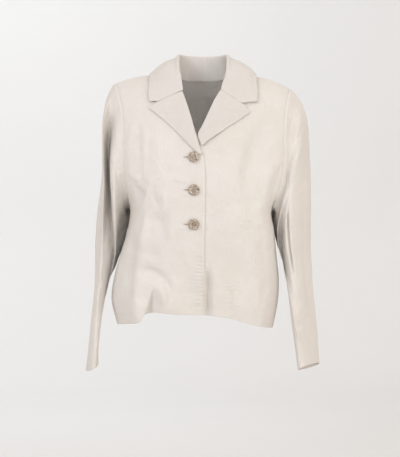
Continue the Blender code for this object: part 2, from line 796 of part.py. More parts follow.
def button_seat(x, z, across, down):
    """y of a button's back, a gap clear of the highest point of the front's face under it."""
    turn = np.linspace(0, 2 * math.pi, 16, endpoint=False)
    reach_x = BUTTON_DIAMETER / 2 * np.cos(turn)
    reach_z = BUTTON_DIAMETER / 2 * np.sin(turn)
    face = body_depth(x + reach_x, z + reach_z, "front") - across * reach_x - down * reach_z
    return min(face.min(), body_depth(x, z, "front")) - REST


def add_buttons(collection, cutters):
    """The three buttons, each lying on the upper front and facing out from it."""
    shared = button_mesh(collection, cutters)
    for name, height in BUTTON_HEIGHTS.items():
        x = np.array(BUTTON_X)
        z = np.array(height)
        across, down = front_tilt(x, z)
        button = add_object(name, shared.copy(), "button", collection)
        button.rotation_euler = (math.pi / 2 - math.atan(down), 0.0, math.atan(across))
        seat = float(button_seat(x, z, across, down))
        button.location = (BUTTON_X * MM, seat * MM, height * MM)


# ---------------------------------------------------------------- the blazer

def build():
    """Make every piece of the blazer."""
    clear_scene()
    blazer = bpy.data.collections.new("blazer")
    cutters = bpy.data.collections.new("cutters")
    bpy.context.scene.collection.children.link(blazer)
    bpy.context.scene.collection.children.link(cutters)
    cloth("front_right", front_grid("right"), CLOTH, "cloth", blazer)
    cloth("front_left", front_grid("left"), CLOTH, "cloth", blazer, flip=True)
    cloth("back", back_grid(), CLOTH, "cloth", blazer)
    cloth("sleeve_right", sleeve_grid("right"), CLOTH, "cloth", blazer, ring=True, flip=True)
    cloth("sleeve_left", sleeve_grid("left"), CLOTH, "cloth", blazer, ring=True)
    cloth("lapel_right", lapel_grid("right"), FACED, "facing", blazer)
    cloth("lapel_left", lapel_grid("left"), FACED, "facing", blazer, flip=True)
    cloth("collar", collar_grid(), FACED, "facing", blazer, flip=True)
    add_buttons(blazer, cutters)


build()
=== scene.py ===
import math

import bpy
import bmesh
import numpy as np
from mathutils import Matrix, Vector


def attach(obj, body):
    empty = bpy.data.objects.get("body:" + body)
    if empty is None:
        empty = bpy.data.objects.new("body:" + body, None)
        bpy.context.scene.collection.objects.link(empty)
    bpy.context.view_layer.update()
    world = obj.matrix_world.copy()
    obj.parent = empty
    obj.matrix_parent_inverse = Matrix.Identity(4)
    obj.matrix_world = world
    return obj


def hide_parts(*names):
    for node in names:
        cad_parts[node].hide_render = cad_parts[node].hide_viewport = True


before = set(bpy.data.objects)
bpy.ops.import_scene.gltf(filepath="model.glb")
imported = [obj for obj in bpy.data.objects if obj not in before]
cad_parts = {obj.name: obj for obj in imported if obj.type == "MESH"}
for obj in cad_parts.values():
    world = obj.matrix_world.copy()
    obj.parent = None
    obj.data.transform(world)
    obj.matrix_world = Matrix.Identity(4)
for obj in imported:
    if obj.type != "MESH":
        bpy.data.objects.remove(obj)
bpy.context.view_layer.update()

# The looks of a cropped ecru blazer: thin cloth shells on the forms of its solids, with creases,
# turned hems, stitching, buttonholes and horn-look buttons. Tables are in millimetres.
MM = 0.001

# Cloth and seams
CLOTH = 0.8             # wall of one layer of cloth
FACED = 1.8             # wall of the collar, two layers with interlining
LAPEL = 1.35            # wall of the lapels
EDGE_WALL = 1.8         # wall along a front edge, where the facing is turned in
SEAM_SIDE = 0.2         # what each of two panels keeps from the side seam that they share
SEAM_SHOULDER = 0.5     # the same on the shoulder seam
REST = 0.6              # gap under a piece that lies on a curved panel
SLEEVE_SEAM = 0.5       # how far the sleeve's first ring stands out from the armhole edge
SLEEVE_RUN = 5.0        # how far the sleeve then carries on in the body's own direction
SEAM = 0.3              # the least gap between two pieces
UNDERLAP = 2.6          # how far the under front lies behind the upper front
TURN_RADIUS = 1.1       # radius of the turn at a hem
HEM_DEPTH = 24.0        # how far the hem is turned up inside
CUFF_DEPTH = 28.0
ROLL_RADIUS = 2.7       # radius of a lapel's roll

# Materials and camera
WEAVE_REPEAT = 0.00085      # metres from one thread to the next but one
PIXEL = 0.00225             # metres of the photo's pixel at the jacket's mid-depth
PHOTO_HEIGHT = 457          # pixels
VIEW_DISTANCE = 3.0

# Buttons
BUTTON_DIAMETER = 24.0
BUTTON_THICKNESS = 3.6
BUTTON_DISH = 1.0
HOLE_DIAMETER = 2.2
HOLE_SPACING = 4.6
BUTTON_X = -20.0
BUTTON_HEIGHTS = {"button_top": -189.0, "button_middle": -260.0, "button_bottom": -334.0}
BUTTONHOLE = (-41.0, -17.0)     # x of a buttonhole's two ends

# Grid sizes
ARMHOLE_ROWS = 150
SIDE_ROWS = 100
FRONT_COLUMNS = 110
BACK_NECK_COLUMNS = 20
BACK_SHOULDER_COLUMNS = 36
SLEEVE_SEAM_ROWS = 76
SLEEVE_RINGS = 200
SMOOTHINGS = 60         # how often the start of a sleeve and the collar are evened out
COLLAR_SECTIONS = 181
COLLAR_ACROSS = 67
LAPEL_ROWS = 80
LAPEL_COLUMNS = 60


SIGN = {"right": -1, "left": 1}     # of x on the wearer's right and left


def table(columns, rows):
    """Named columns of a table as arrays."""
    return dict(zip(columns, np.array(rows, float).T))


def rows_of(columns):
    """The rows of a table again, one by one."""
    return zip(*columns.values())


# Level sections of the body. drop: how far below the shoulder seam, along a body LENGTH long.
# middle, left, right: x of the section's middle and of its two outlines. front, back: its depth
# at the middle. squareness: exponent of the oval, 2 for an ellipse.
LENGTH = 560.0
NECK_HALF = 70.0
SHOULDER_POINT = 196.0
UNDERARM = 300.0
BODY = table(("drop", "middle", "left", "right", "front", "back", "squareness"), (
    (0, 0, -234, 234, 0, 0, 2.3), (10, 0, -233, 233, 28, 32, 2.3), (30, 0, -231, 231, 51, 52, 2.4),
    (60, -1, -228, 229, 74, 68, 2.4), (100, -2, -221, 224, 95, 82, 2.4),
    (150, -4, -213, 215, 113, 93, 2.4), (200, -6, -203, 204, 125, 101, 2.45),
    (250, -8, -184, 182, 133, 106, 2.7), (300, -10, -163, 153, 137, 108, 3.1),
    (340, -11, -167, 159, 138, 108, 3.0), (400, -13, -185, 165, 136, 109, 2.7),
    (450, -15, -199, 170, 133, 111, 2.5), (500, -17, -205, 168, 130, 112, 2.5),
    (560, -19, -193, 157, 128, 113, 2.5),
))
# Height of the shoulder seam at a distance from the middle: left is on the wearer's right, x below 0
SHOULDER = table(("out", "left", "right"), (
    (0, 14, 14), (70, 8, 7), (115, 2, -1), (160, -5, -12), (196, -18, -31), (240, -48, -62),
))
# Height of the hem across the front and across the back, by x
HEM = table(("x", "front", "back"), (
    (-205, -557, -557), (-164, -550, -558), (-140, -546, -544), (-133, -542, -540),
    (-128, -529, -539), (-119, -525, -538), (-108, -524.5, -537), (-60, -528, -538),
    (0, -529, -537), (45, -534, -543), (91, -547, -555), (137, -559, -567), (165, -564, -564),
))
# Neck, roll and front edge of each front, from the shoulder seam to the hem
EDGE_COLUMNS = ("x", "z")
FRONT_EDGES = {
    "right": table(EDGE_COLUMNS, (
        (-70, 8), (-56, -10), (-47, -41), (-29, -95), (-18, -134), (-7, -167), (0, -185),
        (3, -208), (4, -271), (2, -400), (2, -529),
    )),
    "left": table(EDGE_COLUMNS, (
        (70, 7), (55, -11), (40, -38), (24, -65), (11, -95), (-1, -120), (-13, -147), (-30, -178),
        (-43, -208), (-45, -271), (-45, -400), (-45, -529),
    )),
}
# Armhole edges in the front and in the back, from the shoulder to the underarm
ARMHOLES = {
    ("right", "front"): table(EDGE_COLUMNS, (
        (-196, -18), (-184, -50), (-176, -90), (-174, -140), (-174, -200), (-171, -250), (-163, -296),
    )),
    ("right", "back"): table(EDGE_COLUMNS, (
        (-196, -18), (-188, -55), (-182, -100), (-180, -150), (-180, -205), (-175, -255), (-163, -296),
    )),
    ("left", "front"): table(EDGE_COLUMNS, (
        (194, -31), (187, -55), (181, -90), (178, -140), (177, -200), (168, -250), (153, -296),
    )),
    ("left", "back"): table(EDGE_COLUMNS, (
        (194, -31), (189, -60), (184, -100), (182, -150), (181, -205), (173, -255), (153, -296),
    )),
}
BACK_NECK = table(("out", "drop"), ((0, 20), (38, 16), (56, 9), (66, 3), (NECK_HALF, 0), (240, 0)))

# Large folds of the body: a line from (x0, z0) to (x1, z1), its half width and how far it stands
# out (positive) or sinks in, and whether it is in the front or the back
FOLD_COLUMNS = ("x0", "z0", "x1", "z1", "half_width", "height")
FRONT_FOLDS = table(FOLD_COLUMNS, (
    (-118, -315, -158, -545, 17, 9), (-142, -340, -182, -520, 15, -8),
    (-96, -300, -120, -400, 20, -5), (-116, -470, -120, -560, 10, -6),
    (-142, -490, -140, -560, 16, 8), (-70, -440, -100, -540, 26, 5), (118, -130, 92, -290, 22, -5),
    (112, -320, 128, -560, 26, 5), (70, -330, 66, -560, 24, -4), (150, -190, 128, -330, 16, 6),
))
BACK_FOLDS = table(FOLD_COLUMNS, (
    (-120, -210, -92, -560, 24, 7), (-88, -260, -50, -560, 20, -5), (124, -200, 104, -560, 24, 7),
    (84, -280, 66, -560, 22, -6), (4, -330, 10, -560, 26, 5),
))

# Rings of the sleeves. outer and inner: the ring's top or outer end and its underarm or inner end;
# front, back: its reach in y from there; skew: how far its front is turned towards the body; tip:
# how far its front is lifted and its back lowered.
SLEEVE_COLUMNS = (
    "station", "outer_x", "outer_y", "outer_z", "inner_x", "inner_y", "inner_z",
    "front", "back", "skew", "tip",
)
SLEEVES = {
    "right": table(SLEEVE_COLUMNS, (
        (0.00, -197, 0, -18, -163, 0, -296, 78, 78, 0, 0),
        (0.05, -209, 3, -36, -167, 0, -300, 80, 78, 0, 0),
        (0.12, -219, 6, -66, -172, -2, -305, 82, 78, 2, 0),
        (0.20, -228, 10, -108, -179, -5, -312, 84, 78, 6, 0),
        (0.30, -230, 14, -168, -186, -8, -324, 85, 78, 10, 0),
        (0.40, -232, 18, -235, -190, -10, -350, 83, 75, 13, 0),
        (0.50, -240, 18, -305, -193, -12, -385, 80, 70, 15, 0),
        (0.60, -244, 12, -375, -200, -16, -430, 74, 64, 14, 0),
        (0.70, -245, 6, -440, -212, -20, -478, 69, 60, 11, 0),
        (0.80, -250, 0, -512, -222, -24, -532, 65, 57, 9, 0),
        (0.90, -257, -8, -588, -229, -28, -590, 62, 55, 8, 0),
        (1.00, -264, -14, -660, -232, -30, -646, 60, 54, 8, 3),
    )),
    "left": table(SLEEVE_COLUMNS, (
        (0.00, 195, 0, -31, 153, 0, -296, 78, 78, 0, 0),
        (0.05, 208, 3, -43, 156, 0, -303, 72, 78, 0, 0),
        (0.12, 224, 6, -68, 160, -2, -314, 74, 78, 2, 0),
        (0.20, 237, 9, -104, 163, -4, -327, 79, 78, 8, 0),
        (0.30, 242, 12, -156, 166, -6, -345, 83, 76, 14, 0),
        (0.40, 246, 14, -220, 168, -8, -366, 83, 74, 19, 0),
        (0.50, 247, 14, -290, 171, -10, -392, 80, 70, 22, 0),
        (0.60, 246, 12, -365, 177, -14, -424, 75, 64, 21, 0),
        (0.70, 248, 6, -438, 185, -18, -466, 69, 60, 19, 0),
        (0.80, 253, 0, -510, 192, -22, -520, 65, 57, 17, 1),
        (0.90, 259, -6, -577, 200, -26, -585, 61, 54, 17, 2),
        (1.00, 264, -12, -643, 208, -28, -657, 58, 50, 18, 4),
    )),
}
# Long folds of the sleeves: turn is the way round, 0 at the outer end, 90 in front, 180 inside;
# start and stop are stations
SLEEVE_FOLD_COLUMNS = ("turn", "start", "stop", "half_width", "height")
SLEEVE_FOLDS = {
    "right": table(SLEEVE_FOLD_COLUMNS, (
        (52, 0.10, 0.68, 24, -11), (330, 0.30, 0.80, 22, 7), (130, 0.45, 0.95, 20, -5),
        (285, 0.15, 0.70, 18, -7), (225, 0.35, 0.90, 20, 5),
    )),
    "left": table(SLEEVE_FOLD_COLUMNS, (
        (118, 0.14, 0.62, 18, -3), (72, 0.20, 0.60, 18, 3), (30, 0.45, 0.90, 18, -5),
        (240, 0.20, 0.75, 20, -7), (300, 0.30, 0.85, 20, 6),
    )),
}

# Sections of the collar from the centre back (share 0) to the notch (share 1), for the wearer's
# left half. seam: where it is sewn on; fold: where it turns over; edge: its free edge, which rests
# on the body in the back (1), on the shoulder (0) or in front (-1). In the back the seam runs on
# the back's own neck edge, so its y and z are 0 here.
COLLAR = table(
    ("share", "seam_x", "seam_y", "seam_z", "fold_x", "fold_y", "fold_z", "edge_x", "edge_z", "faces"), (
    (0.00, 0, 0, 0, 0, 53, 45, 0, -16, 1), (0.20, 36, 0, 0, 34, 44, 46, 56, -15, 1),
    (0.38, 59, 0, 0, 50, 26, 46, 98, -6, 1), (0.52, 66, 0, 10, 56, 4, 43, 117, 6, 0),
    (0.68, 55, -27, 4, 56, -22, 22, 119, -20, -1), (0.84, 47, -43, -10, 50, -42, -8, 120, -42, -1),
    (1.00, 43, -62, -38, 43, -62, -38, 118, -64, -1),
))
COLLAR_ROLL = 4.6       # radius of the turn at the collar's fold, at the centre back
COLLAR_LIFT = 1.6       # how far the collar's edge stays off the cloth below it
# The notch, where the gorge seam between collar and lapel ends: x and z on either side
NOTCHES = {"right": (-97, -62), "left": (84, -66)}
NOTCH_ON_COLLAR = 0.62  # share of the collar's end that is sewn to the lapel

# Lapels: roll is the inner, folded side and edge the free side, from the gorge down
LAPEL_COLUMNS_OF = ("share", "roll_x", "roll_z", "edge_x", "edge_z")
LAPELS = {
    "right": table(LAPEL_COLUMNS_OF, (
        (0.0, -47, -41, -119, -78), (0.2, -37, -69, -98, -95), (0.4, -29, -95, -76, -114),
        (0.6, -21, -124, -55, -135), (0.8, -11, -155, -30, -162), (1.0, -2, -180, -8, -183),
    )),
    "left": table(LAPEL_COLUMNS_OF, (
        (0.0, 40, -38, 104, -87), (0.2, 26, -61, 82, -103), (0.4, 14, -88, 58, -119),
        (0.6, 2, -114, 35, -135), (0.8, -10, -140, 14, -149), (1.0, -4.5, -161, -2.5, -163),
    )),
}
LAPEL_LIFT = table(("share", "lift"), ((0, 0.0), (0.15, 1.8), (0.5, 2.2), (1, 0.7)))

# Creases: a line from (a0, b0) to (a1, b1), bowed sideways by bow in its middle, with its width on
# the left and on the right of the way it runs, and how far it stands out (or sinks in). On the
# body a is x and b is z. On a sleeve a is the way round, in degrees from its outer line, and b the
# way down from its cap, in millimetres of cloth.
CREASE_COLUMNS = ("a0", "b0", "a1", "b1", "bow", "left", "right", "height")
FRONT_CREASES = table(CREASE_COLUMNS, (
    # wearer's right: long fold from the bust to the lapping fold at the hem
    (-118, -305, -146, -440, 6, 7, 20, 6.5), (-146, -430, -160, -556, -4, 9, 16, 5.0),
    (-108, -318, -128, -440, 6, 16, 9, -4.5), (-168, -400, -190, -520, 6, 12, 8, -6.0),
    # pouch above the hem and the hollow over it
    (-142, -430, -68, -496, -22, 11, 9, -8.0), (-136, -460, -84, -516, -22, 15, 12, 7.0),
    (-84, -470, -70, -530, 3, 12, 26, 4.0),
    # lapping fold: the left bit stands out over the right
    (-111, -476, -141, -562, -3, 18, 2.0, 14.0), (-104, -484, -120, -548, -3, 6, 14, -2.5),
    # crumples under the bust
    (-146, -226, -122, -262, 5, 5, 7, 3.8), (-132, -232, -142, -286, 3, 4, 6, -3.6),
    (-118, -232, -134, -296, -4, 5, 7, 4.2), (-108, -250, -96, -300, 3, 6, 5, -3.0),
    (-98, -228, -118, -252, 3, 5, 4, 2.6), (-90, -262, -84, -322, -4, 8, 6, 3.2),
    (-74, -300, -92, -352, 4, 6, 9, -3.4), (-60, -312, -74, -372, 3, 9, 6, 2.6),
    (-154, -252, -128, -272, -3, 4, 5, -2.4), (-166, -216, -138, -240, 4, 5, 6, 2.4),
    # pulls towards the buttons
    (-62, -236, -30, -240, 2, 4, 6, 1.3), (-70, -246, -28, -250, -2, 5, 4, -1.2),
    (-72, -212, -34, -198, 3, 5, 5, 0.9), (-66, -280, -30, -266, 2, 4, 5, 1.1),
    (-64, -344, -30, -337, 2, 5, 4, 0.9),
    # soft vertical lines beside the armhole
    (-158, -110, -162, -222, 3, 6, 9, 2.4), (-142, -110, -140, -200, -3, 8, 5, -1.8),
    (-112, -116, -116, -214, 3, 6, 6, -1.6), (-96, -136, -92, -230, 3, 9, 9, 1.5),
    # wearer's left: the fold at the armpit; the lit middle ends along a fold from the shoulder
    (171, -202, 146, -298, 3, 6, 6, -5.5), (160, -86, 88, -268, 23, 13, 40, -4.5),
    (146, -92, 78, -262, 22, 20, 10, 1.6), (118, -176, 110, -276, -3, 7, 9, 2.2),
    (96, -250, 78, -400, 4, 22, 14, 2.4), (132, -250, 150, -420, -4, 12, 14, 3.4),
    (120, -330, 138, -520, -3, 14, 9, -3.6), (54, -240, 44, -420, 2, 26, 18, 1.6),
    (22, -190, 60, -250, 6, 14, 14, 1.4), (60, -128, 92, -118, 5, 10, 12, -1.3),
    (36, -300, 70, -312, 2, 6, 8, 0.8), (150, -470, 128, -552, 3, 7, 14, 3.0),
    (92, -470, 84, -560, 2, 12, 14, 2.6), (9, -424, 9, -548, 0, 7, 8, -12.5),
))
BACK_CREASES = table(CREASE_COLUMNS, (
    (-150, -240, -112, -420, 10, 18, 9, 6.4), (-128, -300, -136, -500, -6, 9, 20, -5.6),
    (148, -220, 116, -400, -10, 9, 18, 6.4), (132, -320, 126, -520, 5, 18, 10, -5.1),
    (-70, -60, -118, -150, 8, 12, 16, 3.5), (72, -62, 120, -156, -8, 14, 12, 3.5),
    (-40, -320, -30, -540, 4, 20, 14, 4.8), (48, -360, 62, -540, -4, 16, 22, 4.2),
    (8, -420, 2, -550, 2, 14, 10, -4.2), (-160, -300, -140, -340, 4, 5, 8, 3.2),
    (152, -296, 136, -338, -4, 7, 6, 3.2), (-96, -430, -104, -545, 3, 8, 16, 5.4),
    (96, -450, 84, -548, -3, 14, 8, 5.1), (-24, -40, 20, -44, -3, 6, 9, -1.4),
    (-60, -128, 58, -134, 8, 20, 16, 1.9),
))
SLEEVE_CREASES = {
    "right": table(CREASE_COLUMNS, (
        (20, 420, 84, 462, -5, 8, 11, 3.2), (14, 446, 92, 488, 4, 7, 8, -3.6),
        (8, 476, 72, 500, -4, 8, 9, 2.6), (28, 486, 24, 600, 3, 10, 12, 1.8),
        (60, 500, 66, 610, -3, 12, 10, -2.2), (150, 300, 120, 420, 6, 10, 14, 3.0),
        (176, 380, 120, 470, 6, 8, 12, -3.0), (250, 120, 268, 380, 10, 14, 18, -6.0),
        (296, 140, 310, 420, -8, 12, 16, 4.0), (222, 240, 236, 520, 6, 16, 12, 3.0),
        (262, 430, 320, 462, -4, 8, 10, -2.8), (258, 462, 318, 490, 4, 9, 7, 2.6),
    )),
    "left": table(CREASE_COLUMNS, (
        # the narrow fold down the front, and the two that open from the armpit
        (94, 258, 86, 440, 1, 5, 4, -11.0), (106, 250, 98, 430, 0, 6, 8, 2.5),
        (110, 26, 132, 150, 2, 6, 6, -6.0), (112, 40, 96, 190, 0, 5, 6, -4.0),
        (148, 150, 146, 360, 0, 14, 12, 6.0), (60, 60, 48, 420, 4, 16, 20, 1.8),
        (34, 130, 26, 400, -4, 12, 14, -2.2), (100, 380, 62, 470, 8, 12, 10, -3.2),
        (26, 512, 96, 528, 4, 9, 7, 2.4), (30, 534, 100, 552, -4, 7, 10, -2.4),
        (54, 560, 108, 572, 3, 8, 9, 1.6), (126, 440, 92, 600, 6, 9, 14, 3.6),
        (250, 130, 236, 400, -8, 16, 18, -6.0), (292, 120, 284, 420, 8, 12, 14, 4.2),
        (216, 260, 230, 520, 6, 14, 12, 3.0), (262, 440, 318, 470, 4, 9, 8, -2.6),
        (256, 474, 312, 500, -4, 7, 10, 2.4),
    )),
}
# How far a sleeve's inner back side bulges towards the body's side, in x, under the armpit
TUCK_TURN = 206
TUCK_WIDTH = 26
TUCKS = {
    "right": table(("station", "shift"), (
        (0, 0), (0.08, 0), (0.16, 16), (0.24, 28), (0.3, 31), (0.4, 30), (0.5, 24), (0.6, 13),
        (0.68, 2), (0.75, 0), (1, 0),
    )),
    "left": table(("station", "shift"), (
        (0, 0), (0.04, -1), (0.1, -10), (0.15, -18), (0.2, -22), (0.3, -22), (0.4, -20), (0.5, -16),
        (0.6, -9), (0.72, 0), (1, 0),
    )),
}
# Pleats down the front of a sleeve: where they lie and how wide they are by station, in degrees
# round, and how far they stand forward
PLEAT_COLUMNS = ("station", "turn", "half_width", "forward")
PLEATS = {
    "right": (
        table(PLEAT_COLUMNS, (
            (0.00, 24, 9, 0), (0.05, 24, 9, 4), (0.12, 24, 9, 22), (0.20, 25, 9, 36),
            (0.40, 27, 9, 38), (0.50, 34, 12, 28), (0.60, 42, 16, 16), (0.72, 48, 22, 14),
            (0.80, 50, 26, 15), (0.90, 50, 28, 13), (1.00, 50, 28, 6),
        )),
        table(PLEAT_COLUMNS, (
            (0.00, 56, 13, 0), (0.05, 56, 13, -5), (0.12, 56, 13, -24), (0.20, 57, 14, -36),
            (0.38, 60, 15, -40), (0.46, 74, 22, -45), (0.52, 98, 34, -55), (0.60, 112, 40, -60),
            (0.70, 116, 40, -46), (0.80, 116, 36, -16), (0.90, 112, 34, -2), (1.00, 110, 34, 0),
        )),
    ),
    "left": (
        table(PLEAT_COLUMNS, (
            (0.00, 126, 18, 0), (0.30, 126, 18, 0), (0.38, 128, 20, -20), (0.46, 128, 21, -36),
            (0.62, 126, 21, -36), (0.72, 122, 20, -14), (0.80, 120, 20, 0), (1.00, 120, 20, 0),
        )),
    ),
}
# Gentle waves all over: how many to the metre across and down, their place and their height
UNEVENNESS = table(("across", "down", "place", "height"), (
    (11, 4, 0.3, 0.50), (6, 9, 1.9, 0.55), (17, 7, 4.1, 0.30), (24, 13, 2.6, 0.20),
    (-9, 15, 5.2, 0.34), (31, 5, 0.9, 0.16), (-21, 19, 3.4, 0.17), (8, 27, 1.2, 0.20),
    (37, 23, 5.8, 0.10), (-34, 30, 2.2, 0.10), (14, 41, 4.7, 0.10),
))
SLEEVE_LENGTH = 640.0   # of cloth, down a sleeve
DART_X = 63.5           # line of the short seam that rises from the hem of the wearer's left front
DART_TOP = -440.0


def curve(stations, values, at):
    """Smooth curve through (stations, values): a cubic between each pair of rows, with the slope
    at a row taken from its neighbours."""
    slope = np.gradient(values, stations)
    at = np.clip(at, stations[0], stations[-1])
    row = np.clip(np.searchsorted(stations, at, side="right") - 1, 0, len(stations) - 2)
    width = stations[row + 1] - stations[row]
    part = (at - stations[row]) / width
    rest = 1 - part
    return (
        values[row] * (1 + 2 * part) * rest**2
        + values[row + 1] * (1 + 2 * rest) * part**2
        + width * part * rest * (slope[row] * rest - slope[row + 1] * part)
    )


def read(columns, name, at):
    """A table's named column as a smooth curve over its first column."""
    return curve(next(iter(columns.values())), columns[name], at)


def ease(value):
    """0 below 0, 1 above 1, and smooth between."""
    value = np.clip(value, 0, 1)
    return value * value * (3 - 2 * value)


def bell(value):
    """1 at 0, falling off on both sides: e to the minus square of the value."""
    return np.exp(-(value**2))


def degrees_past(angle, turn):
    """How many degrees an angle in radians lies past a turn in degrees, from -180 to 180."""
    return (np.degrees(angle) - turn + 180) % 360 - 180


# ---------------------------------------------------------------- the body's form

BODY_LEVELS = np.sqrt(BODY["drop"] / LENGTH)
UNDERARM_LEVEL = math.sqrt(UNDERARM / LENGTH)


def section(level, column):
    """One column of the body's table at a level, 0 on the shoulder seam and 1 at the hem."""
    return curve(BODY_LEVELS, BODY[column], level)


def shoulder_height(x):
    """Height of the shoulder seam above x."""
    out = np.abs(x)
    return np.where(x < 0, read(SHOULDER, "left", out), read(SHOULDER, "right", out))


def hem_height(x, side):
    """Height of the hem below x, in the front or the back."""
    return read(HEM, side, x)


def level_at(x, z, side):
    """Level of the point of the body at x and z: the root of its share of the way to the hem."""
    top = shoulder_height(x)
    return np.sqrt(np.clip((top - z) / (top - hem_height(x, side)), 0, 1))


def half_section(level, on_left):
    """x of a section's middle, and its reach from there to its left or right outline."""
    middle = section(level, "middle")
    left, right = middle - section(level, "left"), section(level, "right") - middle
    return middle, np.where(on_left(middle), left, right)


def turn_at(x, level):
    """How far round a section x lies: -1 at its left outline, 0 in the middle, 1 at its right."""
    middle, reach = half_section(level, lambda middle: x < middle)
    share = np.clip(np.abs(x - middle) / reach, 0, 1)
    return np.sign(x - middle) * np.arcsin(share ** (section(level, "squareness") / 2)) * 2 / math.pi


def beside(a, b, a0, b0, a1, b1):
    """Where (a, b) lies by a line: its share of the way along, and how far off to one side."""
    length = math.hypot(a1 - a0, b1 - b0)
    along = ((a - a0) * (a1 - a0) + (b - b0) * (b1 - b0)) / length**2
    return along, ((a - a0) * (b1 - b0) - (b - b0) * (a1 - a0)) / length


def fold_height(x, z, folds):
    """Sum of the folds at x and z: a bell across each line, fading out over its two ends."""
    total = np.zeros(np.broadcast(x, z).shape)
    for *line, half_width, height in rows_of(folds):
        along, across = beside(x, z, *line)
        fade = ease(along / 0.3) * ease((1.15 - along) / 0.2)
        total = total + height * fade * bell(across / half_width)
    return total


def crease_height(a, b, creases, around=0.0):
    """Sum of the creases at (a, b): across each line a bell whose two sides have their own widths,
    about a centre that follows half a sine, fading out over the line's ends. around, if any, is
    how far a runs before it comes round again."""
    total = np.zeros(np.broadcast(a, b).shape)
    for a0, b0, a1, b1, bow, left, right, height in rows_of(creases):
        here = a
        if around:
            here = (a - (a0 + a1) / 2 + around / 2) % around + (a0 + a1) / 2 - around / 2
        along, across = beside(here, b, a0, b0, a1, b1)
        across = across - bow * np.sin(math.pi * np.clip(along, 0, 1))
        width = np.where(across > 0, left, right)
        fade = ease((along + 0.12) / 0.4) * ease((1.12 - along) / 0.4)
        total = total + height * fade * bell(across / width)
    return total


def unevenness(a, b):
    """Sum of the gentle waves at (a, b): sines that run across and down."""
    total = np.zeros(np.broadcast(a, b).shape)
    for across, down, place, height in rows_of(UNEVENNESS):
        total = total + height * np.sin((across * a + down * b) * 2 * math.pi * MM + place)
    return total


def edge_puckers(x, z):
    """Small ripples of the front near its edge, its dart and its hem: a sine down the seam, which
    drifts, times a bell beside the seam and a window along it."""
    drift = 1.4 * np.sin(z / 21) + 0.8 * np.sin(z / 47)
    beside = bell((x + 9) / 9) * ease((-378 - z) / 30) * ease((z + 522) / 12)
    higher = bell((x + 8) / 7) * ease((-272 - z) / 12) * ease((z + 330) / 20) * 0.6
    front = 1.6 * (beside + higher) * np.sin(z * 2 * math.pi / 7.7 + drift)
    window = ease((DART_TOP - z) / 30)
    off = np.abs(x - DART_X)
    dart = bell((off - 7) / 6) * np.sin(z * 2 * math.pi / 8.2 + drift) * window
    return front + dart - 2.3 * bell(off / 1.7) * window


def surface_detail(x, z, side):
    """What the fine cloth adds to the body's form: creases, waves and, in front, puckers."""
    if side == "back":
        return crease_height(x, z, BACK_CREASES) + unevenness(x + 300, z)
    return crease_height(x, z, FRONT_CREASES) + unevenness(x, z) + edge_puckers(x, z)


def body(turn, level, side):
    """Outer face of the cloth at a turn and a level: an oval section, moved out by folds and
    creases."""
    middle, reach = half_section(level, lambda middle: turn < 0)
    power = 2 / section(level, "squareness")
    angle = np.clip(turn, -1, 1) * math.pi / 2
    share = np.sign(turn) * np.abs(np.sin(angle)) ** power
    x = middle + reach * share
    depth = section(level, side) * np.clip(np.cos(angle), 0, 1) ** power
    z = shoulder_height(x) + (hem_height(x, side) - shoulder_height(x)) * level**2
    out = fold_height(x, z, FRONT_FOLDS if side == "front" else BACK_FOLDS) + surface_detail(x, z, side)
    depth = depth + out * np.clip(np.cos(angle) * 2.5, 0, 1)
    return np.stack([x, -depth if side == "front" else depth, z], axis=-1)


def body_depth(x, z, side):
    """Depth in y of the body's outer face at x and z, negative in front."""
    level = level_at(x, z, side)
    return body(turn_at(x, level), level, side)[..., 1]


def edge_x(edge, level, side):
    """x of an edge line at a level."""
    return curve(level_at(edge["x"], edge["z"], side), edge["x"], level)


# ---------------------------------------------------------------- from grids to cloth

def unit(vectors):
    """Vectors of length one."""
    return vectors / np.maximum(np.linalg.norm(vectors, axis=-1, keepdims=True), 1e-9)


def outward(grid, ring, flip):
    """Normal at each point of a grid: the cross product of the ways along its columns and rows."""
    if ring:
        along = np.roll(grid, -1, axis=1) - np.roll(grid, 1, axis=1)
    else:
        along = np.gradient(grid, axis=1)
    normal = unit(np.cross(along, np.gradient(grid, axis=0)))
    return -normal if flip else normal


def lengths(grid, axis):
    """Length of cloth from the grid's first point to each point, along one way of the grid."""
    steps = np.linalg.norm(np.diff(grid, axis=axis), axis=-1)
    start = np.zeros_like(np.take(steps, [0], axis))
    return np.concatenate([start, np.cumsum(steps, axis=axis)], axis=axis)


def sink(grid, ring, flip, top=0.0, first=0.0, last=0.0, width=2.0):
    """Let a grid dip at its seams: it moves inward by a bell of the distance from its top row, its
    first column and its last column."""
    normal = outward(grid, ring, flip)
    down = lengths(grid, 0)
    across = lengths(grid, 1)
    depth = top * bell(down / width) + first * bell(across / width)
    depth = depth + last * bell((across[:, -1:] - across) / width)
    return grid - normal * depth[..., None]


def turn_up(grid, ring, flip, depth):
    """Turn the last rows up inside: past the last row comes half a circle of TURN_RADIUS, and
    then the rows above it again, moved inward by the circle's width."""
    normal = outward(grid, ring, flip)
    down = unit(grid[-1] - grid[-2])
    bend = [
        grid[-1] + TURN_RADIUS * (math.sin(angle) * down - (1 - math.cos(angle)) * normal[-1])
        for angle in np.linspace(0, math.pi, 7)[1:]
    ]
    rise = lengths(grid, 0).mean(axis=1)
    rows = np.flatnonzero(rise[-1] - rise < depth)[:-1][::-1]
    inside = grid[rows] - 2 * TURN_RADIUS * normal[rows]
    return np.concatenate([grid, np.stack(bend), inside])


def grid_faces(index, flip):
    """Corners of the four-sided faces of a grid of point numbers."""
    corners = np.stack([index[:-1, :-1], index[:-1, 1:], index[1:, 1:], index[1:, :-1]], axis=-1)
    faces = corners.reshape(-1, 4)
    return faces[:, ::-1] if flip else faces


def closed(index):
    """Point numbers of a grid with its first column again after its last."""
    return np.concatenate([index, index[:, :1]], axis=1)


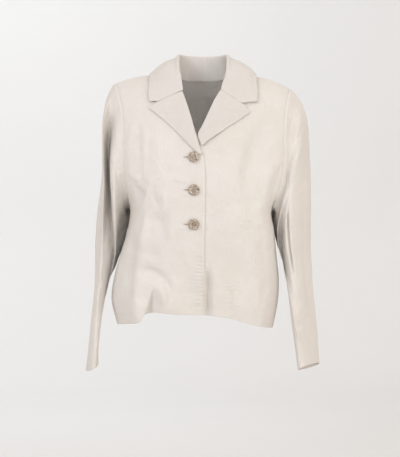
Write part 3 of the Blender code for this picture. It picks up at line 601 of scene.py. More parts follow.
def border(index, ring):
    """Point numbers round a grid's border, or round its two ends if it is a ring."""
    if ring:
        return [index[0], index[-1, ::-1]]
    round_it = [index[0, :-1], index[:-1, -1], index[-1, :0:-1], index[:0:-1, 0]]
    loop = np.concatenate(round_it)
    return [np.append(loop, loop[0])]


def edge_way(grid, ring):
    """At a grid's border, the way that leads out of the cloth along its surface."""
    away = np.zeros_like(grid)
    away[0] += unit(grid[0] - grid[1])
    away[-1] += unit(grid[-1] - grid[-2])
    if not ring:
        away[:, 0] += unit(grid[:, 0] - grid[:, 1])
        away[:, -1] += unit(grid[:, -1] - grid[:, -2])
    return unit(away)


def new_mesh(name, points, faces):
    """A mesh of points in millimetres and its faces, smooth."""
    mesh = bpy.data.meshes.new(name)
    mesh.from_pydata((points * MM).tolist(), [], faces)
    mesh.shade_smooth()
    return mesh


def merge_points(mesh, turn_out=False):
    """Merge a mesh's points on one spot, and turn its faces outward if asked."""
    built = bmesh.new()
    built.from_mesh(mesh)
    bmesh.ops.remove_doubles(built, verts=built.verts, dist=1e-7)
    if turn_out:
        bmesh.ops.recalc_face_normals(built, faces=built.faces)
    built.to_mesh(mesh)
    built.free()
    return mesh


def cloth_mesh(name, grid, wall, ring=False, flip=False):
    """Closed cloth: the grid, the same grid moved inward by the wall, and a rounded border between
    them. Its UV map "weave" is the length of cloth across and down, in metres. A ring's last
    column lies on its first, and the two are merged."""
    if ring:
        grid = closed(grid)
    normal = outward(grid, False, flip)
    if ring:
        seam = unit(normal[:, :1] + normal[:, -1:])
        normal[:, :1] = seam
        normal[:, -1:] = seam
    wall = np.broadcast_to(wall, grid.shape[:2])[..., None]
    inner = grid - normal * wall
    index = np.arange(grid.shape[0] * grid.shape[1]).reshape(grid.shape[:2])
    size = index.size
    points = [grid.reshape(-1, 3), inner.reshape(-1, 3)]
    faces = [grid_faces(index, flip), grid_faces(index + size, not flip)]
    across = lengths(grid, 1)
    weave = np.stack([across - across[:, across.shape[1] // 2, None], lengths(grid, 0)], axis=-1)
    uv = [weave.reshape(-1, 2), weave.reshape(-1, 2)]
    away = edge_way(grid, ring).reshape(-1, 3)
    flat_wall = wall.reshape(-1, 1)
    count = 2 * size
    for loop in border(index, ring):
        rims = [loop]
        for turn in (math.pi / 4, 3 * math.pi / 4):
            share = (1 - math.cos(turn)) / 2
            middle = points[0][loop] * (1 - share) + points[1][loop] * share
            points.append(middle + away[loop] * flat_wall[loop] / 2 * math.sin(turn))
            uv.append(uv[0][loop] + 0.6 * len(rims))
            rims.append(np.arange(count, count + len(loop)))
            count += len(loop)
        rims.append(loop + size)
        for here, there in zip(rims[:-1], rims[1:]):
            rim = np.stack([here[1:], here[:-1], there[:-1], there[1:]], axis=-1)
            faces.append(rim[:, ::-1] if flip else rim)
    faces = np.concatenate(faces)
    mesh = new_mesh(name, np.concatenate(points), faces.tolist())
    mesh.uv_layers.new(name="weave").data.foreach_set("uv", (np.concatenate(uv) * MM)[faces].ravel())
    return merge_points(mesh)


def place_object(name, data):
    """An object of data, linked to the scene."""
    made = bpy.data.objects.new(name, data)
    bpy.context.scene.collection.objects.link(made)
    return made


def add_piece(name, mesh, finish, slot, *nodes):
    """Place a piece with its finish. It rides on the blazer and stands for nodes. Its slot is not used.
    """
    mesh.materials.append(finish)
    piece = place_object(name, mesh)
    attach(piece, "root")
    if nodes:
        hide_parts(*nodes)
    return piece


# ---------------------------------------------------------------- fronts and back

def armhole_levels(rows):
    """Levels of rows beside the armhole, closer together near its two ends."""
    share = np.linspace(0, 1, rows)
    return UNDERARM_LEVEL * (0.6 * share + 0.4 * (1 - np.cos(math.pi * share)) / 2)


def panel_levels():
    """Levels of all rows of a body panel, from the shoulder seam to the hem."""
    below = np.linspace(UNDERARM_LEVEL, 1, SIDE_ROWS)
    return np.concatenate([armhole_levels(ARMHOLE_ROWS), below[1:]])


def outer_turn(side, face, level):
    """Turn of a panel's outer edge: the armhole edge, and the side seam below it."""
    turn = turn_at(edge_x(ARMHOLES[side, face], level, face), level)
    return np.where(level < UNDERARM_LEVEL - 1e-6, turn, SIGN[side])


def keep_from_seams(grid, level, face):
    """Hold a panel off the plane of the shoulder and side seams."""
    keep = SEAM_SIDE + (SEAM_SHOULDER - SEAM_SIDE) * (1 - ease(level / 0.1))
    if face == "front":
        grid[..., 1] = np.minimum(grid[..., 1], -keep)
    else:
        grid[..., 1] = np.maximum(grid[..., 1], keep)
    return grid


def front_grid(side):
    """Points of one front, from its edge to its armhole and side seam, row by row. The edge stays
    inside the lapel's roll."""
    level = panel_levels()[:, None]
    rolled = 1 - ease((level - 0.50) / 0.08)
    inner = turn_at(edge_x(FRONT_EDGES[side], level, "front") + SIGN[side] * 2.0 * rolled, level)
    outer = outer_turn(side, "front", level)
    across = np.linspace(0, 1, FRONT_COLUMNS)[None, :]
    grid = body(inner + (outer - inner) * across, level, "front")
    if side == "left":
        under = 1 - ease((grid[..., 0] - 8) / 40)
        grid[..., 1] += UNDERLAP * under * ease(level / 0.3)
    return keep_from_seams(grid, level, "front")


def front_wall(grid, rows):
    """Wall of a front: EDGE_WALL within 20 mm of its free edge, and CLOTH beyond 26 mm and at the
    turned hem, past the grid's first rows."""
    across = lengths(grid, 1)
    down = lengths(grid, 0)
    above = ease((down[rows - 1] - down - HEM_DEPTH) / 6)
    return CLOTH + (EDGE_WALL - CLOTH) * (1 - ease((across - 20) / 6)) * above


def neck_level(x):
    """Level at which the back ends below the collar, 0 beside the neck."""
    return np.sqrt(np.maximum(read(BACK_NECK, "drop", np.abs(x)), 0) / LENGTH)


def back_grid():
    """Points of the back, from one side to the other, with the neck cut out of its top rows."""
    half = np.concatenate([
        np.linspace(0, NECK_HALF, BACK_NECK_COLUMNS),
        np.linspace(NECK_HALF, SHOULDER_POINT, BACK_SHOULDER_COLUMNS)[1:],
    ])
    top = np.concatenate([-half[:0:-1], half])[None, :]
    neck = neck_level(top)
    level = neck + (1 - neck) * panel_levels()[:, None]
    share = turn_at(np.abs(top), 0.1) / turn_at(np.array(SHOULDER_POINT), 0.1)
    right, left = (outer_turn(side, "back", panel_levels()[:, None]) for side in ("right", "left"))
    turn = share * np.where(top < 0, right, left)
    return keep_from_seams(body(turn, level, "back"), level, "back")


# ---------------------------------------------------------------- sleeves

def ring_points(side, station, angle):
    """Ring of a sleeve: an oval between its outer and inner ends, turned by its skew and tip."""
    value = {name: read(SLEEVES[side], name, station) for name in SLEEVE_COLUMNS}
    outer, inner = (
        np.stack([value[f"{end}_{axis}"] for axis in "xyz"], axis=-1) for end in ("outer", "inner")
    )
    points = (outer + inner) / 2 + np.cos(angle)[..., None] * (outer - inner) / 2
    skewed = 2 * value["skew"] / (value["outer_x"] - value["inner_x"])
    narrow = np.sqrt(np.clip(1 - skewed**2, 0.04, 1))
    across = (outer - inner)[..., 0] / 2 * (narrow - 1)
    reach = np.where(np.sin(angle) > 0, value["front"], value["back"])
    points[..., 0] += across * np.cos(angle) - SIGN[side] * value["skew"] * np.sin(angle)
    points[..., 1] -= reach * np.sin(angle)
    points[..., 2] += value["tip"] * np.sin(angle)
    return points


def sleeve_relief(side, station, angle):
    """How far a sleeve's cloth stands out: long folds, as bells of the angle that fade at their two
    stations, and the finer creases and waves, in millimetres of cloth round and down."""
    folds = SLEEVE_FOLDS[side]
    total = np.zeros(np.broadcast(station, angle).shape)
    for turn, start, stop, half_width, height in rows_of(folds):
        away = degrees_past(angle, turn)
        along = (station - start) / (stop - start)
        fade = ease(along / 0.3) * ease((1 - along) / 0.3)
        total = total + height * fade * bell(away / half_width)
    round_it = np.degrees(angle)
    down = station * SLEEVE_LENGTH + 0 * angle
    fine = crease_height(round_it, down, SLEEVE_CREASES[side], around=360.0)
    waves = unevenness(round_it * 0.95, down + 900) * ease(np.abs((round_it + 180) % 360 - 180) / 14)
    return total + (fine + waves) * ease((station - 0.02) / 0.1)


def armhole_ring(side):
    """The armhole's edge as a ring, down its front and up its back, with each point's angle and
    the body's outward normal there."""
    level = armhole_levels(SLEEVE_SEAM_ROWS)
    faces = []
    normals = []
    for face in ("front", "back"):
        turn = outer_turn(side, face, level) * 0.999
        point = body(turn, level, face)
        around = body(turn * 0.99, level, face) - point
        down = body(turn, level + 0.005, face) - point
        normal = unit(np.cross(around, down))
        normals.append(normal * np.sign(normal[:, :1] * SIGN[side]))
        faces.append(body(outer_turn(side, face, level), level, face))
    ring = np.concatenate([faces[0], faces[1][-2:0:-1]])
    normal = np.concatenate([normals[0], normals[1][-2:0:-1]])
    drop = (ring[:, 2] - ring[0, 2]) / (ring[SLEEVE_SEAM_ROWS - 1, 2] - ring[0, 2])
    half = np.arccos(np.clip(1 - 2 * drop, -1, 1))
    angle = np.where(np.arange(len(ring)) < SLEEVE_SEAM_ROWS, half, 2 * math.pi - half)
    return ring, angle, normal, drop


def sleeve_start(side):
    """The sleeve's first two rings: just off the armhole's edge, then a short run in the body's
    own direction, which turns outward at the underarm. Also the angle of each of their points."""
    ring, angle, normal, drop = armhole_ring(side)
    along = np.roll(ring, -1, axis=0) - np.roll(ring, 1, axis=0)
    away = unit(np.cross(along, normal))
    hole = unit(ring.mean(axis=0) - ring)
    hole[:, 0] += SIGN[side]
    away = away * np.sign((away * hole).sum(axis=1, keepdims=True))
    low = ease((drop - 0.85) / 0.15)[:, None]
    first = ring + away * SLEEVE_SEAM * (1 + 2 * low) + normal * (SEAM * low - 0.5 * (1 - low))
    run = unit(away * (1 - low) + normal * (0.35 + 1.5 * low))
    return first, first + run * SLEEVE_RUN, angle


def evened(rows):
    """Each row but the first and last, half of it from its two neighbours."""
    return rows[1:-1] / 2 + (rows[:-2] + rows[2:]) / 4


def sleeve_grid(side):
    """Points of a sleeve, ring by ring: the armhole's edge, turning into the table's ovals, moved
    out from each ring's middle by the sleeve's relief."""
    first, second, start = sleeve_start(side)
    even = np.linspace(0, 2 * math.pi, len(first), endpoint=False)
    station = np.linspace(0, 1, SLEEVE_RINGS)[:, None]
    angle = start + (even - start) * ease(station / 0.5)
    rings = ring_points(side, station, angle)
    table_start = ring_points(side, station[:1], angle[:1])
    rings = rings + (second - table_start) * (1 - ease(station / 0.28))[..., None]
    for _ in range(SMOOTHINGS):
        near_cap = (1 - ease((station[1:-1] - 0.2) / 0.15))[..., None]
        rings[1:-1] += (evened(rings) - rings[1:-1]) * near_cap
    out = unit(rings - rings.mean(axis=1, keepdims=True))
    rings = rings + out * sleeve_relief(side, station, angle)[..., None]
    for pleat in PLEATS[side]:
        turn, half_width, forward = (read(pleat, name, station) for name in PLEAT_COLUMNS[1:])
        rings[..., 1] -= forward * bell(degrees_past(angle, turn) / half_width)
    tuck = bell(degrees_past(angle, TUCK_TURN) / TUCK_WIDTH)
    rings[..., 0] += read(TUCKS[side], "shift", station) * tuck
    share = np.array([0.0, 0.35, 0.7])[:, None, None]
    return np.concatenate([first + (second - first) * share, rings])


# ---------------------------------------------------------------- lapels and collar

def lapel_offset(share):
    """How far a lapel's outer face stands off the front, from its roll (0) to its edge (1)."""
    return REST + FACED + read(LAPEL_LIFT, "lift", share)


def lapel_face(side, down, out):
    """Points of a lapel: straight rows from roll (0) to edge (1) on the front's own face, moved
    out. Its top row follows the gorge seam to the notch and then the lapel's own top edge."""
    roll_x, roll_z, free_x, free_z = (read(LAPELS[side], name, down) for name in LAPEL_COLUMNS_OF[1:])
    x = roll_x + (free_x - roll_x) * out
    z = roll_z + (free_z - roll_z) * out
    notch = np.array([x[0, 0], NOTCHES[side][0], x[0, -1]])
    gorge = np.interp(x[0] * np.sign(x[0]), notch * np.sign(notch), [z[0, 0], NOTCHES[side][1], z[0, -1]])
    z = z - 1.1 * SEAM + (gorge - z[0]) * (1 - ease(down / 0.4))
    y = body_depth(x, z, "front") - lapel_offset(out)
    ripple = 0.5 * np.sin(x / 9 + z / 14) + 0.35 * np.sin(x / 5 - z / 8)
    y = y + ripple * ease(out / 0.3) * ease((1 - out) / 0.2)
    return np.stack([x, y, z], axis=-1)


def lapel_grid(side):
    """A lapel with its roll: the face, led by half a circle of ROLL_RADIUS that turns in behind
    the front's edge, and a short return behind it."""
    down = np.linspace(0, 1, LAPEL_ROWS)[:, None]
    out = ease(np.linspace(0, 1, LAPEL_COLUMNS) * 0.5 + 0.5) * 2 - 1
    face = lapel_face(side, down, out[None, :])
    inward = unit(face[:, 0] - face[:, 6])
    along = unit(np.gradient(face[:, 0], axis=0))
    behind = np.cross(inward, along)
    behind = unit(behind * np.sign(behind[:, 1:2]))
    radius = ROLL_RADIUS * ease((1.04 - down) / 0.2)
    bend = [
        face[:, 0] + radius * (math.sin(angle) * inward + (1 - math.cos(angle)) * behind)
        for angle in np.linspace(math.pi, 0, 11)[:-1]
    ]
    back = [
        face[:, 0] + radius * 2 * behind - inward * reach * ease((1.02 - down) / 0.3)
        for reach in (14, 9, 5, 2)
    ]
    return np.concatenate([np.stack(back + bend, axis=1), face], axis=1)


def collar_edge():
    """The collar's free edge: the body's face at each row of the table, plus its lift."""
    x, z, faces = COLLAR["edge_x"], COLLAR["edge_z"], COLLAR["faces"]
    back = body_depth(x, z, "back") + COLLAR_LIFT + FACED
    front = body_depth(x, z, "front") - COLLAR_LIFT - FACED
    y = np.where(faces > 0, back, np.where(faces < 0, front, 0.0))
    return np.stack([x, y, z], axis=-1)


def collar_seam():
    """Where the collar is sewn on: the back's neck edge, then the table's rows in front."""
    x = COLLAR["seam_x"]
    level = neck_level(x)
    back = body(turn_at(x, level), level, "back")
    front = np.stack([x, COLLAR["seam_y"], COLLAR["seam_z"]], axis=-1)
    return np.where(COLLAR["faces"][:, None] > 0, back, front)


def rest_on_body(points, gap):
    """Move points that would lie less than gap off the body's outer face out in y."""
    x, y, z = points[..., 0], points[..., 1], points[..., 2]
    moved = points.copy()
    for face, sign in (("front", -1), ("back", 1)):
        level = level_at(x, z - gap, face)
        least = np.abs(body(turn_at(x, level), level, face)[..., 1]) + gap * ease(level / 0.08)
        moved[..., 1] = np.where(sign * y > 0, sign * np.maximum(sign * y, least), moved[..., 1])
    return moved


def curve_rows(knots, rows, at):
    """The smooth curve through each row of values, read at the same places."""
    return np.stack([curve(knots, row, at) for row in rows])


def collar_grid():
    """Points of the collar: at each section up the stand, round the fold and down the fall. In
    front the stand runs out, and the section is the fall alone, along the gorge."""
    side = np.linspace(-1, 1, COLLAR_SECTIONS)
    share = np.abs(side)
    mirror = np.where(side < 0, -1, 1)

    def along(rows):
        points = np.stack([curve(COLLAR["share"], rows[:, axis], share) for axis in range(3)], axis=-1)
        points[:, 0] *= mirror
        return points

    seam = along(collar_seam())
    fold = along(np.stack([COLLAR["fold_x"], COLLAR["fold_y"], COLLAR["fold_z"]], axis=-1))
    edge = along(collar_edge())
    low = ease((share - 0.70) / 0.22)
    seam[:, 0] += np.where(side < 0, -1.8, -3.6 * ease((share - 0.8) / 0.2) + 0.6) * low
    out = edge - seam
    out[:, 2] = 0
    out = unit(out)
    up = np.array([0.0, 0.0, 1.0])
    bend = [
        fold + COLLAR_ROLL * (math.cos(angle) * out + math.sin(angle) * up)
        for angle in np.linspace(math.pi, 0, 5)
    ]
    stand = seam + (bend[0] - seam) * 0.5 - out
    fall = [
        bend[-1] + (edge - bend[-1]) * part + (out * 4.0 + up * 3.0) * swell
        for part, swell in ((0.33, 0.9), (0.67, 0.9))
    ]
    folded = np.stack([seam, stand, *bend, *fall, edge], axis=1)
    knots = np.array([0.0, 0.14, 0.28, 0.32, 0.36, 0.40, 0.44, NOTCH_ON_COLLAR, 0.80, 1.0])
    notch_x, notch_z = (
        np.where(side < 0, right, left) for right, left in zip(NOTCHES["right"], NOTCHES["left"])
    )
    notch_y = body_depth(notch_x, notch_z, "front") - FACED - COLLAR_LIFT
    notch = np.stack([notch_x, notch_y, notch_z], axis=-1)
    flat_knots = np.array([0.0, 0.015, 0.03, 0.05, 0.08, 0.12, 0.18, NOTCH_ON_COLLAR, 0.80, 1.0])
    straight = seam[:, None] + (edge - seam)[:, None] * flat_knots[:, None]
    sewn = np.clip(flat_knots / NOTCH_ON_COLLAR, 0, 1)[:, None]
    free = np.clip((flat_knots - NOTCH_ON_COLLAR) / (1 - NOTCH_ON_COLLAR), 0, 1)[:, None]
    gorge = seam[:, None] * (1 - sewn) + notch[:, None] * (sewn - free) + edge[:, None] * free
    flat = straight + (gorge - straight) * ease((share - 0.75) / 0.25)[:, None, None]
    standing = (1 - ease((share - 0.62) / 0.30))[:, None, None]
    path = flat * (1 - standing) + folded * standing
    marks = np.array([0.0, 0.14, 0.28, 0.32, 0.36, 0.40, 0.44, 0.53, NOTCH_ON_COLLAR, 0.75, 0.88, 1.0])
    across = np.interp(np.linspace(0, 1, COLLAR_ACROSS), np.linspace(0, 1, len(marks)), marks)
    grid = np.stack([curve_rows(knots, path[:, :, axis], across) for axis in range(3)], axis=-1)
    gap = REST + FACED + COLLAR_LIFT * ease((across - 0.30) / 0.3)
    rested = rest_on_body(grid, gap[None, :])
    laid = np.maximum(ease((across - 0.40) / 0.1)[None, :], 1 - standing[:, :, 0])
    grid = grid + (rested - grid) * laid[..., None]
    soft = grid.copy()
    for _ in range(SMOOTHINGS):
        soft[1:-1] = evened(soft)
    part = ease((share - 0.48) / 0.12) * ease((0.99 - share) / 0.06)
    part = part[:, None] * ease(across / 0.1)[None, :] * ease((1 - across) / 0.06)[None, :]
    soft_y, y = soft[..., 1], grid[..., 1]
    out_y = np.where(y < 0, np.minimum(soft_y, y), np.maximum(soft_y, y))
    grid[..., 1] += (out_y - y) * part
    return grid + up * 1.1 * SEAM


# ---------------------------------------------------------------- thread and buttons

def tube(path, radius, sides=6):
    """Points and faces of a closed tube: a circle carried along a path, shut by its end rings'
    own middles."""
    way = unit(np.gradient(path, axis=0))
    rough = np.where(np.abs(way[:, 2:3]) < 0.8, [[0.0, 0.0, 1.0]], [[1.0, 0.0, 0.0]])
    first = unit(np.cross(way, rough))
    second = np.cross(way, first)
    angle = np.linspace(0, 2 * math.pi, sides, endpoint=False)[None, :, None]
    rings = path[:, None] + radius * (np.cos(angle) * first[:, None] + np.sin(angle) * second[:, None])
    index = closed(np.arange(rings.shape[0] * sides).reshape(-1, sides))
    return rings.reshape(-1, 3), grid_faces(index, True), [index[0, :-1], index[-1, -2::-1]]


def join_tubes(name, tubes):
    """One mesh of many tubes, each with a flat face over each end."""
    points, faces, start = [], [], 0
    for made, sides, ends in tubes:
        points.append(made)
        faces.extend((sides + start).tolist())
        faces.extend([(end + start).tolist() for end in ends])
        start += len(made)
    return new_mesh(name, np.concatenate(points), faces)


def stitch_mesh(name, places, ways, normals, length, radius):
    """One mesh of equal stitches: a spindle, thick in its middle, at each place, along its way and
    half sunk in the cloth."""
    along = np.array([-0.5, -0.32, 0.0, 0.32, 0.5]) * length
    thick = np.array([0.25, 0.85, 1.0, 0.85, 0.25]) * radius
    angle = np.linspace(0, 2 * math.pi, 6, endpoint=False)
    side = np.cross(ways, normals)
    points = (
        places[:, None, None]
        + ways[:, None, None] * along[None, :, None, None]
        + side[:, None, None] * (thick[None, :, None] * np.cos(angle))[..., None]
        + normals[:, None, None] * (thick[None, :, None] * np.sin(angle))[..., None]
    )
    size = len(along) * len(angle)
    index = closed(np.arange(size).reshape(len(along), len(angle)))
    caps = np.array([[0, 5, 4, 3], [0, 3, 2, 1], [24, 25, 26, 27], [24, 27, 28, 29]])
    single = np.concatenate([grid_faces(index, False), caps])
    every = (np.arange(len(places)) * size)[:, None, None] + single[None]
    return new_mesh(name, points.reshape(-1, 3), every.reshape(-1, 4).tolist())


def along_line(path, normal, pitch):
    """Evenly spaced places on a line: its points and normals read at equal lengths."""
    travel = lengths(path, 0)
    at = np.arange(pitch / 2, travel[-1], pitch)
    places, normals = (
        np.stack([np.interp(at, travel, line[:, axis]) for axis in range(3)], axis=-1)
        for line in (path, normal)
    )
    normals = unit(normals)
    ways = unit(np.gradient(places, axis=0))
    normals = unit(normals - ways * (ways * normals).sum(axis=1, keepdims=True))
    return places, ways, normals


def inset_line(grid, normal, distance, from_last=True):
    """The line on a grid at a distance from its last (or first) column, row by row."""
    across = lengths(grid, 1)
    if from_last:
        across = across[:, -1:] - across
    order = -across if from_last else across
    goal = -distance if from_last else distance
    before = np.clip((order < goal).sum(axis=1) - 1, 0, grid.shape[1] - 2)[:, None]
    near = np.take_along_axis(order, before, 1)
    far = np.take_along_axis(order, before + 1, 1)
    part = np.clip((goal - near) / np.maximum(far - near, 1e-9), 0, 1)

    def on_line(values):
        here = np.take_along_axis(values, before[..., None], 1)[:, 0]
        there = np.take_along_axis(values, before[..., None] + 1, 1)[:, 0]
        return here + (there - here) * part

    return on_line(grid), on_line(normal)


def stitch_line(name, grid, normal, distance, rows, pitch=3.4, way="column", from_last=True):
    """Topstitching at a distance from a grid's edge column, or from its last row."""
    if way == "row":
        grid, normal = grid.swapaxes(0, 1), normal.swapaxes(0, 1)
    path, out = inset_line(grid, normal, distance, from_last)
    places, ways, normals = along_line(path[rows], out[rows], pitch)
    mesh = stitch_mesh(name, places + normals * 0.05, ways, normals, pitch * 0.72, 0.26)
    return add_piece(name, mesh, thread, "cloth")


def front_tilt(x, z):
    """Slopes of the upper front's face at x and z."""
    step = 6.0
    across = (body_depth(x + step, z, "front") - body_depth(x - step, z, "front")) / (2 * step)
    down = (body_depth(x, z + step, "front") - body_depth(x, z - step, "front")) / (2 * step)
    return across, down


def turn_about_z(angle):
    """Matrix of a turn about z."""
    return np.array([
        [math.cos(angle), -math.sin(angle), 0], [math.sin(angle), math.cos(angle), 0], [0, 0, 1],
    ])


def button_place(x, z):
    """Turn and place of a button: its back lies a gap clear of the highest point under it."""
    across, down = front_tilt(x, z)
    turn = np.linspace(0, 2 * math.pi, 24, endpoint=False)
    reach_x = BUTTON_DIAMETER / 2 * np.cos(turn)
    reach_z = BUTTON_DIAMETER / 2 * np.sin(turn)
    face = body_depth(x + reach_x, z + reach_z, "front") - across * reach_x - down * reach_z
    seat = min(face.min(), body_depth(x, z, "front")) - REST
    tilt = math.pi / 2 - math.atan(down)
    lean = np.array([
        [1, 0, 0], [0, math.cos(tilt), -math.sin(tilt)], [0, math.sin(tilt), math.cos(tilt)],
    ])
    return turn_about_z(math.atan(across)) @ lean, np.array([x, seat, z], float)


def turned_disc(radius, height, steps, flip=False):
    """Points and faces of a turned body: the profile (radius, height) carried round, its first and
    last points on the axis."""
    angle = np.linspace(0, 2 * math.pi, steps, endpoint=False)
    rings = np.stack([
        np.outer(radius, np.cos(angle)), np.outer(radius, np.sin(angle)),
        np.repeat(np.array(height)[:, None], steps, axis=1),
    ], axis=-1)
    index = closed(np.arange(len(radius) * steps).reshape(len(radius), steps))
    return rings.reshape(-1, 3), grid_faces(index, flip)


def turned_object(name, radius, height, steps, place=0.0):
    """An object of a turned body, moved to a place."""
    points, faces = turned_disc(radius, height, steps)
    return place_object(name, merge_points(new_mesh(name, points + place, faces.tolist()), turn_out=True))


def button_blank():
    """A button lying on z = 0: dished front, rounded rim, flat back, and four sewing holes."""
    radius = BUTTON_DIAMETER / 2
    top = BUTTON_THICKNESS
    knots = np.linspace(0, 1, 11)
    reach = radius * np.array([0, 0.20, 0.40, 0.52, 0.60, 0.68, 0.76, 0.84, 0.91, 0.96, 0.985])
    dish = BUTTON_DISH * (1 - ease((reach / radius - 0.46) / 0.28))
    rise = top - dish - 0.5 * ease((knots - 0.75) / 0.25)
    edge = np.linspace(0, math.pi / 2, 5)
    side = radius - 0.2 - 1.1 * (1 - np.cos(edge[::-1])) + 0.2 * np.sin(edge)
    profile_r = np.concatenate([reach, [radius, radius], side[::-1][1:], [radius * 0.7, 0]])
    profile_z = np.concatenate([rise, [top - 1.1, top - 1.9], np.linspace(1.1, 0.0, 5)[1:], [0.0, 0.0]])
    blank = turned_object("button_blank", profile_r, profile_z, 72)
    drills = []
    for corner_x in (-1, 1):
        for corner_z in (-1, 1):
            middle = np.array([corner_x, corner_z, 0]) * HOLE_SPACING / 2
            bore = HOLE_DIAMETER / 2 * np.array([0, 1, 1, 1.25, 1.5, 0])
            depth = np.array([-2, -2, top - BUTTON_DISH - 0.45, top - BUTTON_DISH - 0.12, 8, 8])
            drill = turned_object("drill", bore, depth, 20, middle)
            drills.append(drill)
            cut = blank.modifiers.new("hole", "BOOLEAN")
            cut.operation = "DIFFERENCE"
            cut.solver = "EXACT"
            cut.object = drill
    bpy.context.view_layer.update()
    made = bpy.data.meshes.new_from_object(blank.evaluated_get(bpy.context.evaluated_depsgraph_get()))
    for tool in (blank, *drills):
        bpy.data.objects.remove(tool, do_unlink=True)
    return made


def sewing_thread(turn, place):
    """Thread through a button: over each pair of holes three strands side by side, each down
    through the holes and over the bridge between them, in a low arch."""
    span = HOLE_SPACING / 2
    deck = BUTTON_THICKNESS - BUTTON_DISH
    steps = np.linspace(0, math.pi, 13)
    tubes = []
    for row in (-span, span):
        for strand in (-0.48, 0.0, 0.48):
            x = np.concatenate([[-span], -span * np.cos(steps) * (1 - 0.04 * np.sin(steps)), [span]])
            arch = deck - 0.9 + 1.25 * np.sqrt(np.sin(steps).clip(0)) + 0.12 * (strand == 0)
            z = np.concatenate([[-0.4], arch, [-0.4]])
            y = row + strand * (0.45 + 0.55 * np.concatenate([[0], np.sin(steps), [0]]))
            tubes.append(tube(np.stack([x, y, z], axis=-1) @ turn.T + place, 0.27))
    return tubes


# ---------------------------------------------------------------- finishes

class Finish:
    """A material in the making: its nodes, its links and its shader."""

    def __init__(self, name):
        self.material = bpy.data.materials.new(name)
        self.material.use_nodes = True
        self.nodes = self.material.node_tree.nodes
        self.links = self.material.node_tree.links
        self.shader = self.nodes["Principled BSDF"]
        self.place = self.node("ShaderNodeTexCoord", "Object")

    def feed(self, node, inputs):
        """Link or set a node's inputs, each from a socket or a value."""
        for name, value in inputs.items():
            if isinstance(value, bpy.types.NodeSocket):
                self.links.new(value, node.inputs[name])
            else:
                node.inputs[name].default_value = value

    def node(self, kind, output, inputs=None, **settings):
        """The output of a new node."""
        node = self.nodes.new(kind)
        for name, value in settings.items():
            setattr(node, name, value)
        self.feed(node, inputs or {})
        return node.outputs[output]

    def maths(self, operation, *terms):
        """A sum, product or other operation on sockets and numbers."""
        return self.node("ShaderNodeMath", 0, dict(enumerate(terms)), operation=operation)

    def noise(self, where, scale, detail, roughness=0.5, distortion=0.0):
        """A Noise texture's value at a place."""
        return self.node("ShaderNodeTexNoise", "Fac", {
            "Vector": where, "Scale": scale, "Detail": detail, "Roughness": roughness,
            "Distortion": distortion,
        })

    def stretched(self, where, scale):
        """A place with each of its axes scaled."""
        return self.node("ShaderNodeMapping", "Vector", {"Vector": where, "Scale": scale})

    def between(self, value, stops):
        """A Colour Ramp: stops are (position, colour)."""
        node = self.nodes.new("ShaderNodeValToRGB")
        ramp = node.color_ramp
        for position, colour in stops[1:-1]:
            ramp.elements.new(position).color = (*colour, 1)
        for end in (0, -1):
            ramp.elements[end].position = stops[end][0]
            ramp.elements[end].color = (*stops[end][1], 1)
        self.feed(node, {"Fac": value})
        return node.outputs["Color"]

    def raised(self, height, strength, distance, under=None):
        """A Bump on a height, over another bump if there is one."""
        inputs = {"Height": height, "Strength": strength, "Distance": distance}
        if under is not None:
            inputs["Normal"] = under
        return self.node("ShaderNodeBump", "Normal", inputs)


def woven_cloth(name, dark, light, rumple):
    """Fine plain weave: the product of a sine across and a sine down the cloth's own UV map, with
    long thin slubs both ways, over the soft rumple of worn cloth."""
    made = Finish(name)
    weave = made.node("ShaderNodeUVMap", "UV", uv_map="weave")
    split = made.nodes.new("ShaderNodeSeparateXYZ")
    made.feed(split, {0: weave})
    per_metre = 2 * math.pi / WEAVE_REPEAT
    warp, weft = (
        made.maths("SINE", made.maths("MULTIPLY", split.outputs[axis], per_metre)) for axis in "XY"
    )
    plain = made.maths("MULTIPLY", warp, weft)
    slubs = made.maths("ADD", *(
        made.noise(made.stretched(weave, scale), 1.0, 3) for scale in ((1400, 38, 1), (30, 1300, 1))
    ))
    clouds = made.noise(made.place, 7.0, 3)
    tone = made.maths("ADD", made.maths("MULTIPLY", slubs, 0.34), made.maths("MULTIPLY", clouds, 0.5))
    tone = made.maths("ADD", tone, made.maths("MULTIPLY", plain, 0.05))
    soft = made.noise(made.place, 16.0, 4, 0.55, 0.6)
    crumple = made.noise(made.place, 55.0, 5, 0.6, 0.3)
    normal = made.raised(soft, 0.5 * rumple, 0.010)
    normal = made.raised(crumple, 0.42 * rumple, 0.0016, normal)
    height = made.maths("ADD", plain, made.maths("MULTIPLY", slubs, 1.3))
    made.feed(made.shader, {
        "Base Color": made.between(tone, [(0.32, dark), (0.86, light)]),
        "Normal": made.raised(height, 0.22, 0.00016, normal),
        "Roughness": made.node("ShaderNodeMapRange", "Result", {
            "To Min": 0.78, "To Max": 0.94, "Value": slubs,
        }),
        "Specular IOR Level": 0.25,
        "Sheen Weight": 0.18,
        "Sheen Roughness": 0.45,
        "Sheen Tint": (1.0, 0.96, 0.91, 1.0),
    })
    return made.material


def cotton_thread(name, dark, light):
    """Matte twisted cotton: a fine noise in its colour and its relief."""
    made = Finish(name)
    twist = made.noise(made.place, 1800.0, 2)
    made.feed(made.shader, {
        "Base Color": made.between(twist, [(0.3, dark), (0.7, light)]),
        "Normal": made.raised(twist, 0.5, 0.0002),
        "Roughness": 0.8,
        "Sheen Weight": 0.2,
    })
    return made.material


